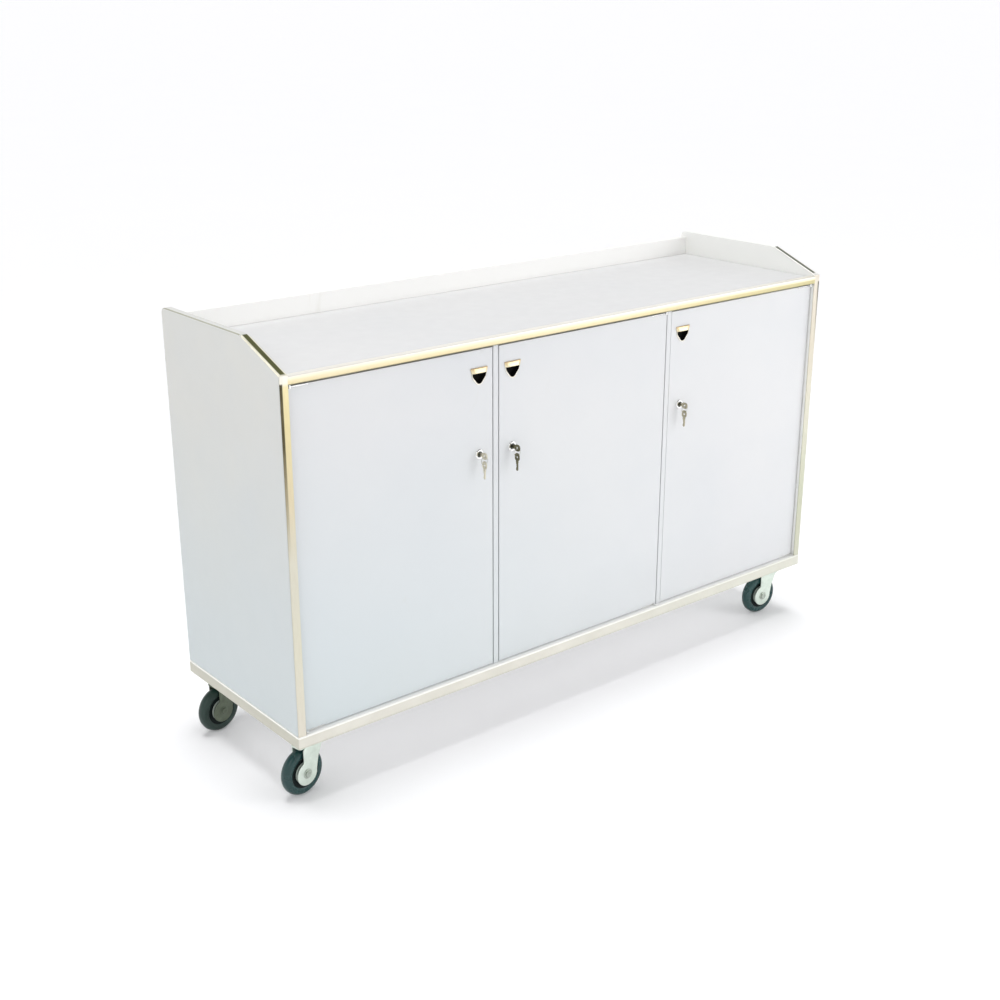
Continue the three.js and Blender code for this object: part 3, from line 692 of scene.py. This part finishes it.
def trim_section(reach):
    """The T profile as (across, depth) points: a flat head on a thin spine into the board."""
    head, spine, thickness = 8.6, 1.0, 3.0
    outline = [
        (-head, thickness), (-head, 0.0), (head, 0.0), (head, thickness),
        (spine, thickness), (spine, reach), (-spine, reach), (-spine, thickness),
    ]
    return soften(outline, 1.3, 5)


def trim_mesh(centre_x, start, end, reach, stations):
    """Sweeps the T profile from cut to cut; a station is a distance back from the end and a width."""
    (outer0, inner0), (outer1, inner1) = [[Vector(point) for point in cut] for cut in (start, end)]
    length = (outer1 - outer0).length
    sections = []
    for back, width in [(length, 1.0), *stations, (0.0, stations[-1][1] if stations else 1.0)]:
        share = 1 - back / length
        outer, inner = outer0.lerp(outer1, share), inner0.lerp(inner1, share)
        section = []
        for across, depth in trim_section(reach):
            place = outer.lerp(inner, depth / reach)
            section.append((centre_x + across * width, place.x, place.y))
        sections.append(section)
    return between(sections)


def trim_depth(side):
    """How far a trim's spine reaches into its board, on the front and on the slope alike."""
    low, high = box_mm(f"{side}_front_trim")
    return high.y - low.y


def make_front_trim(side):
    """The head is 1.2 mm wider than the CAD solid, all of it on the inner side."""
    node = f"{side}_front_trim"
    low, high = box_mm(node)
    middle = (low.x + high.x) / 2
    centre = middle - math.copysign(0.6, middle)
    outer_top = corner_points(node, lambda p: p.z)
    inner_face = high.y - 0.01
    inner_top = corner_points(node, lambda p: p.z if p.y > inner_face else 0)
    start = ((low.y, low.z), (high.y, low.z))
    mesh = trim_mesh(centre, start, (outer_top, inner_top), trim_depth(side), [])
    piece(f"{node}_profile", [mesh], MATERIALS[f"{side}_trim"], "cabinet", (node,))


def make_slope_trim(side):
    """The slope's profile narrows to a round upper end."""
    node = f"{side}_slope_trim"
    low, high = box_mm(node)
    start = (corner_points(node, lambda p: -p.y), corner_points(node, lambda p: -p.z))
    end = (corner_points(node, lambda p: p.z), corner_points(node, lambda p: p.y))
    round_end = [(5.0, 1.0), (3.2, 0.97), (1.8, 0.90), (0.8, 0.79), (0.2, 0.66)]
    mesh = trim_mesh((low.x + high.x) / 2, start, end, trim_depth(side), round_end)
    piece(f"{node}_profile", [mesh], MATERIALS[f"{side}_slope"], "cabinet", (node,))


def make_nosing():
    """The nosing's face hangs a little lower in front than behind."""
    node = "worktop_nosing"
    low, high = box_mm(node)
    lip, lip_drop = 3.0, 0.8
    corners = [
        (low.y, low.z), (low.y + lip, low.z), (low.y + lip, low.z + lip_drop),
        (high.y, low.z + lip_drop), (high.y, high.z), (low.y, high.z),
    ]
    section = soften(corners, 1.2, 6)
    ends = [[(x, y, z) for y, z in section] for x in (low.x, high.x)]
    piece(f"{node}_profile", [between(ends)], MATERIALS["nosing"], "cabinet", (node,))


def make_base_band():
    node = "base_edge_band"
    low, high = box_mm(node)
    panel_low, panel_high = box_mm("base_panel")
    size, hole = high - low, panel_high - panel_low
    outline = rounded_rectangle(size.x, size.y, 4.0)
    inner = rounded_rectangle(hole.x + 0.6, hole.y + 0.6, 0.4)
    ring = moved(stamped(outline, [inner], size.z, 1.1), at(*(low + high) / 2))
    piece("base_band_profile", [ring], MATERIALS["band"], "cabinet", (node,))


# Pulls -------------------------------------------------------------------------------------------


def bezier(points, steps=12):
    """Points along a cubic curve, its start included and its end left out."""
    p0, p1, p2, p3 = [Vector(point) for point in points]
    out = []
    for step in range(steps):
        t = step / steps
        s = 1 - t
        out.append(tuple(p0 * s**3 + p1 * 3 * s * s * t + p2 * 3 * s * t * t + p3 * t**3))
    return out


def mirrored(left):
    """A left half outline from its top to its foot, followed by its mirror image."""
    return left + [(-x, y) for x, y in left[-2::-1]]


def pull_outline():
    """A shield: a wide tab over the opening, narrowing in two curves to a blunt tip."""
    w, top, foot, opening = 21.5, 15.8, -19.5, 4.5
    side = bezier(((-0.87 * w, opening), (-0.84 * w, -6), (-0.6 * w, foot + 9), (-0.36 * w, foot + 3)))
    tip = [(-0.36 * w, foot + 3), (-0.24 * w, foot + 1.1), (-0.1 * w, foot + 0.25), (0, foot)]
    shoulder = [(-w + 1.8, top), (-w + 0.5, top - 0.5), (-w + 0.2, top - 1.8)]
    return mirrored(shoulder + side + tip)


def opening_outline(half=17.6, top=4.5, foot=-17.8):
    knee = top - 0.4 * (top - foot)
    side = bezier(((-half, top), (-half, knee), (-0.75 * half, knee - 1), (-0.42 * half, foot + 4)))
    tip = [(-0.42 * half, foot + 4), (-0.28 * half, foot + 1.6), (-0.13 * half, foot + 0.35), (0, foot)]
    return mirrored(side + tip)


def pull_place(door):
    """The middle of a pull in X and Z, with its outline a little above the middle."""
    low, high = box_mm(f"pull_{door}")
    return at((low.x + high.x) / 2, 0, (low.z + high.z) / 2 + 0.25)


def pull_back(door):
    """The back of a pull's plate in Y, just clear of the door's face."""
    return box_mm(f"door_{door}")[0].y - 0.3


def make_pull_plate(door):
    """A flat plate round the opening, and a hood over the opening's upper edge that swells forward."""
    node = f"pull_{door}"
    front = box_mm(node)[0].y
    back = pull_back(door)
    place = pull_place(door)
    thickness = 1.8
    plate = moved(stamped(pull_outline(), [opening_outline()], thickness, 0.6), FACING_FRONT)
    plate.transform(place @ at(0, back - thickness / 2, 0))

    hood = []
    strips = 32
    foot_width, flare = 18.2, 0.17
    for strip in range(strips + 1):
        t = 2 * strip / strips - 1
        swell = max(0.05, 1 - abs(t) ** 7)
        lip = back - 1.2 - (back - 1.2 - front) * swell
        section = [
            (back - 1.0, 15.3), (back - 1.3 - 1.4 * swell, 14.4), (lip + 0.7 * swell, 8.4),
            (lip, 5.8), (lip + 0.5 * swell, 4.6), (back - 1.0, 4.6),
        ]
        hood.append([((foot_width + flare * (z - 4.4)) * t, y, z) for y, z in soften(section, 1.0, 3)])
    meshes = [plate, moved(between(hood), place)]
    piece(f"pull_plate_{door}", meshes, MATERIALS["pull"], f"door_{door}", (node,))


def make_pull_cup(door):
    """A thin black cup behind the opening, with its front left open."""
    back = pull_back(door)
    sections = []
    for inset, y in ((0.0, back - 0.9), (0.0, back + 0.4), (0.6, back + 7.5), (2.2, back + 9.6)):
        shape = opening_outline(17.7 - inset, 4.6 - inset, -17.9 + inset)
        sections.append([(x, y, z) for x, z in shape])
    cup = moved(between(sections), pull_place(door))
    work = bmesh.new()
    work.from_mesh(cup)
    work.faces.ensure_lookup_table()
    bmesh.ops.delete(work, geom=[work.faces[0]], context="FACES_ONLY")
    work.to_mesh(cup)
    work.free()
    node = f"pull_{door}"
    made = piece(f"pull_cup_{door}", [cup], MATERIALS["cup"], f"door_{door}", (node,))
    wall = made.modifiers.new("wall", "SOLIDIFY")
    wall.thickness = 0.8 * MM
    wall.offset = 0.0


# Locks and keys ----------------------------------------------------------------------------------


def make_lock_barrel(door):
    """The bezel and sleeve in the door, with a nut behind it."""
    node = f"lock_barrel_{door}"
    low, high = box_mm(node)
    place = at((low.x + high.x) / 2, 0, (low.z + high.z) / 2)
    front, back = low.y, high.y
    door_low, door_high = box_mm(f"door_{door}")
    flange = door_low.y - 0.3
    bezel = [
        (6.15, front + 0.5), (6.5, front), (9.2, front), (10.5, front + 1.0), (10.5, flange),
        (8.5, flange), (8.5, back), (6.15, back),
    ]
    barrel = moved(closed_lathe(bezel, 0.35), ALONG_Y)
    nut = moved(stamped(hexagon(22), [circle(8.0)], 3.5, 0.5), FACING_FRONT)
    nut.transform(at(0, door_high.y + 2.05, 0))
    meshes = [moved(mesh, place) for mesh in (barrel, nut)]
    body = f"door_{door}"
    piece(f"lock_housing_{door}", meshes, MATERIALS["chrome"], body, (node,))


def make_lock_plug(door):
    """The slotted face, the core, and the cam held by a screw."""
    node = f"lock_plug_{door}"
    centre = middle_mm(f"lock_barrel_{door}")
    low, high = box_mm(node)
    slot = rounded_rectangle(2.4, 6.6, 0.5, 3)
    face = moved(stamped(circle(5.95, 64), [slot], 6.0, 0.35), FACING_FRONT)
    face.transform(at(0, low.y + 3.0, 0))
    core_front, core_back = low.y + 5.9, high.y - 4.2
    core = moved(lathe([(0, core_front), (5.9, core_front), (5.9, core_back), (0, core_back)]), ALONG_Y)
    cam = moved(stamped(rounded_rectangle(13, high.z - low.z, 5.5), [], 2.0, 0.4), FACING_FRONT)
    cam.transform(at(0, high.y - 4.0, (low.z + high.z) / 2 - centre.z))
    screw = moved(stamped(hexagon(8.6), [], 3.0, 0.4), FACING_FRONT)
    screw.transform(at(0, high.y - 1.5, 0))
    place = at(centre.x, 0, centre.z)
    meshes = [moved(mesh, place) for mesh in (face, core, cam, screw)]
    piece(f"lock_core_{door}", meshes, MATERIALS["plug"], f"lock_{door}", (node,))


BOW_RADIUS = 8.5
UPRIGHT = Matrix(((0, 0, 1, 0), (1, 0, 0, 0), (0, 1, 0, 0), (0, 0, 0, 1)))


def key_meshes():
    """A key in X and Y: its bow centred on the origin with a hole, its blade along +X."""
    side, end, flat = 3.4, 7.0, 4.5
    bow = soften([
        (BOW_RADIUS, side), (flat, end), (-flat, end), (-BOW_RADIUS, side),
        (-BOW_RADIUS, -side), (-flat, -end), (flat, -end), (BOW_RADIUS, -side),
    ], 3.0)
    bow_plate = stamped(bow, [circle(2.7, 32)], 1.6, 0.3)
    rim_inside = [(x * 0.80, y * 0.78) for x, y in bow]
    rim = stamped(bow, [rim_inside], 2.0, 0.3)
    eye = stamped(circle(3.9, 40), [circle(2.7, 32)], 2.0, 0.25)
    blade = [
        (7.2, 3.0), (9.2, 3.0), (9.8, 3.8), (11.6, 3.8), (12.2, 3.0), (15.6, 3.0),
        (16.6, 1.5), (17.4, 1.5), (18.6, 2.8), (19.8, 1.1), (20.8, 1.1), (21.9, 2.9),
        (23.0, 1.7), (24.0, 1.7), (25.3, 3.0), (27.4, 3.0), (30.0, 0.2), (28.3, -3.0),
        (12.2, -3.0), (11.6, -3.8), (9.8, -3.8), (9.2, -3.0), (7.2, -3.0),
    ]
    blade_plate = stamped(soften(blade, 0.25, 2), [], 1.7, 0.25)
    ridge = [(12.4, -0.4), (27.0, -0.4), (27.6, 0.0), (27.0, 0.4), (12.4, 0.4)]
    return [bow_plate, rim, eye, blade_plate, stamped(ridge, [], 2.0, 0.15)]


def make_key(door):
    """The key in the lock, pointing to the back."""
    node = f"key_{door}"
    low, high = box_mm(node)
    place = at((low.x + high.x) / 2, low.y + BOW_RADIUS, (low.z + high.z) / 2) @ UPRIGHT
    meshes = [moved(mesh, place) for mesh in key_meshes()]
    piece(f"key_cut_{door}", meshes, MATERIALS[node], node, (node,))


def make_key_ring(door):
    """A split ring: a little under two turns of wire."""
    node = f"key_ring_{door}"
    low, high = box_mm(node)
    radius = (high.x - low.x) / 2 - 0.8
    turns, steps, gauge, rise = 1.9, 120, 0.4, 0.8
    path = []
    for i in range(steps + 1):
        angle = 2 * math.pi * turns * i / steps
        path.append((radius * math.cos(angle), (i / steps - 0.5) * rise, radius * math.sin(angle)))
    ring = moved(wire(path, gauge), at(*middle_mm(node)))
    piece(f"split_ring_{door}", [ring], MATERIALS["ring"], f"ring_{door}", (node,))


def make_spare_key(door):
    """The spare key hangs from the ring, below the key's bow."""
    key_low, key_high = box_mm(f"key_{door}")
    node = f"spare_key_{door}"
    high = box_mm(node)[1]
    place = at((key_low.x + key_high.x) / 2, key_low.y + BOW_RADIUS, high.z - BOW_RADIUS)
    hanging = place @ Matrix.Rotation(math.radians(-90), 4, "X") @ UPRIGHT
    meshes = [moved(mesh, hanging) for mesh in key_meshes()]
    finish = MATERIALS[f"key_{door}"]
    piece(f"spare_cut_{door}", meshes, finish, f"spare_{door}", (node,))


# Casters -----------------------------------------------------------------------------------------


# Millimetres: bolts from the middle of the plate, and the middle of a fork leg from that of the wheel.
BOLT_PLACES = [(side * 36, end * 29) for side in (1, -1) for end in (1, -1)]
LEG_OFFSET = 16.8


# The back casters take the copies of the zinc and the tyre that carry painted shade.
def is_front(caster):
    return caster.startswith("front")


def make_caster_plate(caster):
    """The mounting plate with its bolt holes, and the swivel race pressed under it."""
    node = f"caster_{caster}_plate"
    low, high = box_mm(node)
    place = at((low.x + high.x) / 2, (low.y + high.y) / 2, 0)
    holes = [[(x + bolt_x, y + bolt_y) for x, y in circle(4.0, 24)] for bolt_x, bolt_y in BOLT_PLACES]
    plate = stamped(rounded_rectangle(92, 78, 7), holes, 3.0, 0.6)
    plate.transform(at(0, 0, high.z - 1.5))
    race = closed_lathe([
        (0.5, high.z - 1.2), (27.5, high.z - 1.2), (27.5, high.z - 3.2), (25.0, high.z - 4.0),
        (25.0, high.z - 6.0), (22.5, low.z + 0.1), (0.5, low.z + 0.1),
    ], 1.2)
    meshes = [moved(mesh, place) for mesh in (plate, race)]
    finish = MATERIALS["zinc" if is_front(caster) else "shaded_zinc"]
    piece(f"caster_mount_{caster}", meshes, finish, "cabinet", (node,))


def make_caster_bolts(caster):
    """Four bolt heads on washers under the plate, each at its own angle."""
    low, high = box_mm(f"caster_{caster}_plate")
    place = at((low.x + high.x) / 2, (low.y + high.y) / 2, 0)
    meshes = []
    for bolt_x, bolt_y in BOLT_PLACES:
        washer = stamped(circle(7.0, 36), [], 1.2, 0.3)
        washer.transform(at(bolt_x, bolt_y, high.z - 3.7))
        head = stamped(hexagon(10), [], 4.0, 0.6)
        angle = math.copysign(0.4, bolt_x) + math.copysign(1.0, bolt_y)
        head.transform(at(bolt_x, bolt_y, high.z - 6.2) @ Matrix.Rotation(angle, 4, "Z"))
        meshes += [moved(mesh, place) for mesh in (washer, head)]
    piece(f"caster_bolts_{caster}", meshes, MATERIALS["bolt"], "cabinet")


def caster_place(caster):
    """The place and heading of a caster's swivel axis, its trail and the height of its axle."""
    swivel = JOINTS[f"caster_{caster}_swivel"]["pos_m"]
    axle = JOINTS[f"caster_{caster}_roll"]["pos_m"]
    heading = math.atan2(axle[1] - swivel[1], axle[0] - swivel[0])
    trail = math.hypot(axle[1] - swivel[1], axle[0] - swivel[0]) / MM
    place = Matrix.Translation((swivel[0], swivel[1], 0)) @ Matrix.Rotation(heading, 4, "Z")
    return place, trail, axle[2] / MM


def fork_leg(trail, crown_top, axle_z):
    """The outline of a fork leg in X (towards the trail) and Z, with a round foot about the axle."""
    foot_radius, first_angle, sweep, steps = 25.5, 72.9, 258.3, 24
    corners = [(-2, axle_z + 26), (-14, crown_top - 13), (-14, crown_top - 6), (26, crown_top - 6)]
    corners.append((trail + 7.5, crown_top - 17))
    for step in range(steps + 1):
        angle = math.radians(first_angle - sweep * step / steps)
        corners.append((trail + foot_radius * math.cos(angle), axle_z + foot_radius * math.sin(angle)))
    return soften(corners, 2.5, 3)


def make_fork(caster):
    """The round crown, the pressed hood over the tyre, and a leg on each side."""
    node = f"caster_{caster}_fork"
    place, trail, axle_z = caster_place(caster)
    top = box_mm(node)[1].z
    crown = closed_lathe([
        (0.5, top), (27.0, top), (30.0, top - 3.0), (30.0, top - 8.0), (27.0, top - 11.0),
        (0.5, top - 11.0),
    ], 1.4)
    hood = stamped(rounded_rectangle(56, 2 * LEG_OFFSET - 3.2, 7), [], 3.6, 1.0)
    hood.transform(at(14, 0, top - 12.2))
    outline = fork_leg(trail, top, axle_z)
    legs = []
    for side in (-1, 1):
        leg = moved(stamped(outline, [], 2.6, 0.7), FACING_FRONT)
        legs.append(moved(leg, at(0, side * LEG_OFFSET, 0)))
    meshes = [moved(mesh, place) for mesh in (crown, hood, *legs)]
    finish = MATERIALS["zinc" if is_front(caster) else "shaded_zinc"]
    piece(f"fork_pressing_{caster}", meshes, finish, f"fork_{caster}", (node,))


def make_axle(caster):
    """The axle bolt: a head and a nut on washers, and a threaded shaft."""
    place, trail, axle_z = caster_place(caster)
    head = moved(stamped(hexagon(13), [], 3.8, 0.9), FACING_FRONT)
    head.transform(at(trail, -LEG_OFFSET - 4.1, axle_z))
    nut = moved(stamped(hexagon(13), [circle(3.6, 32)], 3.8, 0.8), FACING_FRONT)
    nut.transform(at(trail, LEG_OFFSET + 4.1, axle_z))
    washers = []
    for side in (-1, 1):
        washer = moved(stamped(circle(10.5, 48), [], 1.6, 0.5), FACING_FRONT)
        washers.append(moved(washer, at(trail, side * (LEG_OFFSET + 1.9), axle_z)))
    root, crest_height, half_pitch = 3.4, 0.3, 0.5
    turns = int((2 * LEG_OFFSET + 5.4) / half_pitch)
    thread = [(0, -LEG_OFFSET)]
    thread += [(root + crest_height * (i % 2), -LEG_OFFSET + half_pitch * i) for i in range(turns)]
    thread += [(0, LEG_OFFSET + 5.6)]
    shaft = moved(lathe(thread, 32), ALONG_Y)
    shaft.transform(at(trail, 0, axle_z))
    meshes = [moved(mesh, place) for mesh in (head, nut, shaft, *washers)]
    finish = MATERIALS["bolt" if is_front(caster) else "shaded_zinc"]
    node = f"caster_{caster}_fork"
    piece(f"axle_bolt_{caster}", meshes, finish, f"fork_{caster}", (node,))


def make_wheel(caster):
    """A crowned tread, the dark seat inside it, and the wheel core."""
    place, trail, axle_z = caster_place(caster)
    wheel = place @ at(trail, 0, axle_z) @ ALONG_Y
    body = f"wheel_{caster}"
    tyre = (f"caster_{caster}_tyre",)
    tread = closed_lathe([
        (33.0, -10.9), (41.0, -11.9), (45.6, -10.3), (48.8, -6.2), (50.0, 0.0), (48.8, 6.2),
        (45.6, 10.3), (41.0, 11.9), (33.0, 10.9),
    ], 2.4, 96, 5)
    rubber = MATERIALS["tyre" if is_front(caster) else "shaded_tyre"]
    piece(f"tyre_tread_{caster}", [moved(tread, wheel)], rubber, body, tyre)
    seat = closed_lathe([(23.4, -9.4), (33.6, -10.3), (33.6, 10.3), (23.4, 9.4)], 1.2, 96, 4)
    piece(f"tyre_seat_{caster}", [moved(seat, wheel)], MATERIALS["seat"], body, tyre)
    hub = closed_lathe([
        (4.2, -14.5), (10.0, -14.5), (11.0, -9.0), (18.0, -8.0), (20.0, -10.0), (23.0, -10.0),
        (23.0, 10.0), (20.0, 10.0), (18.0, 8.0), (11.0, 9.0), (10.0, 14.5), (4.2, 14.5),
    ], 0.9, 72)
    core = (f"caster_{caster}_hub",)
    piece(f"wheel_core_{caster}", [moved(hub, wheel)], MATERIALS["hub"], body, core)


# Stage, light and camera --------------------------------------------------------------------------


def make_floor():
    """A wide pale floor in a grid of squares."""
    half, squares = 500.0, 10
    row = squares + 1
    lines = [half * (2 * i / squares - 1) for i in range(row)]
    vertices = [(x, y, 0) for y in lines for x in lines]
    corners = [j * row + i for j in range(squares) for i in range(squares)]
    faces = [(corner, corner + 1, corner + row + 1, corner + row) for corner in corners]
    floor = bpy.data.meshes.new("floor")
    floor.from_pydata(vertices, [], faces)
    shader = Shader("studio_floor", roughness=0.9)
    shader.surface.inputs["Specular IOR Level"].default_value = 0.1
    shader.color(shader.blend(shader.noise(1.2, 3.0), (0.89, 0.89, 0.90), (0.88, 0.88, 0.895)))
    shader.surface.inputs["Emission Color"].default_value = (1, 1, 1, 1)
    shader.surface.inputs["Emission Strength"].default_value = 0.10
    floor.materials.append(shader.material)
    obj = bpy.data.objects.new("floor", floor)
    bpy.context.scene.collection.objects.link(obj)


def make_world():
    """White near the horizon and dim overhead; a stop is the sine of the angle above the horizon."""
    brightness = [(0.0, 0.97), (0.50, 0.97), (0.64, 0.14), (1.0, 0.10)]
    world = bpy.data.worlds.new("studio")
    bpy.context.scene.world = world
    world.use_nodes = True
    nodes, links = world.node_tree.nodes, world.node_tree.links
    split = nodes.new("ShaderNodeSeparateXYZ")
    links.new(nodes.new("ShaderNodeTexCoord").outputs["Generated"], split.inputs["Vector"])
    ramp = nodes.new("ShaderNodeValToRGB")
    set_stops(ramp.color_ramp, [(height, (value, value, 1.01 * value)) for height, value in brightness])
    links.new(split.outputs["Z"], ramp.inputs["Fac"])
    links.new(ramp.outputs["Color"], nodes["Background"].inputs["Color"])


def make_sun(name, azimuth, elevation, strength, size):
    """A soft sun; azimuth is the side it shines from, from +X towards +Y, in degrees."""
    light = bpy.data.lights.new(name, "SUN")
    light.energy = strength
    light.angle = math.radians(size)
    obj = bpy.data.objects.new(name, light)
    a, e = math.radians(azimuth), math.radians(elevation)
    source = Vector((math.cos(a) * math.cos(e), math.sin(a) * math.cos(e), math.sin(e)))
    obj.rotation_euler = source.to_track_quat("Z", "Y").to_euler()
    bpy.context.scene.collection.objects.link(obj)


def make_panel(name, place, target, size, power):
    """A square soft light that faces a point."""
    light = bpy.data.lights.new(name, "AREA")
    light.size = size
    light.energy = power
    obj = bpy.data.objects.new(name, light)
    obj.location = place
    away = Vector(place) - Vector(target)
    obj.rotation_euler = away.to_track_quat("Z", "Y").to_euler()
    bpy.context.scene.collection.objects.link(obj)


def make_camera():
    data = bpy.data.cameras.new("camera")
    data.lens = CAMERA_LENS
    data.sensor_width = 36
    data.clip_start = 0.05
    data.clip_end = 1500
    obj = bpy.data.objects.new("camera", data)
    yaw, pitch = math.radians(CAMERA_YAW), math.radians(CAMERA_PITCH)
    forward = Vector((math.sin(yaw) * math.cos(pitch), math.cos(yaw) * math.cos(pitch), -math.sin(pitch)))
    obj.location = CAMERA_PLACE
    obj.rotation_euler = forward.to_track_quat("-Z", "Y").to_euler()
    bpy.context.scene.collection.objects.link(obj)
    bpy.context.scene.camera = obj


make_camera()
make_world()
make_sun("overhead", 75, 84, 1.92, 28)
make_panel("front_right", (2.4, -2.6, 1.8), (0.3, 0, 0.6), 2.0, 34)
make_panel("left_high", (-2.4, -0.9, 2.3), (0.5, 0.1, 0.9), 1.2, 13)
make_floor()
dress_boards()
for side in ("left", "right"):
    make_front_trim(side)
    make_slope_trim(side)
make_nosing()
make_base_band()
for door in DOORS:
    make_pull_plate(door)
    make_pull_cup(door)
    make_lock_barrel(door)
    make_lock_plug(door)
    make_key(door)
    make_key_ring(door)
    make_spare_key(door)
for caster in CASTERS:
    make_caster_plate(caster)
    make_caster_bolts(caster)
    make_fork(caster)
    make_axle(caster)
    make_wheel(caster)
bpy.context.scene.view_settings.view_transform = "Standard"
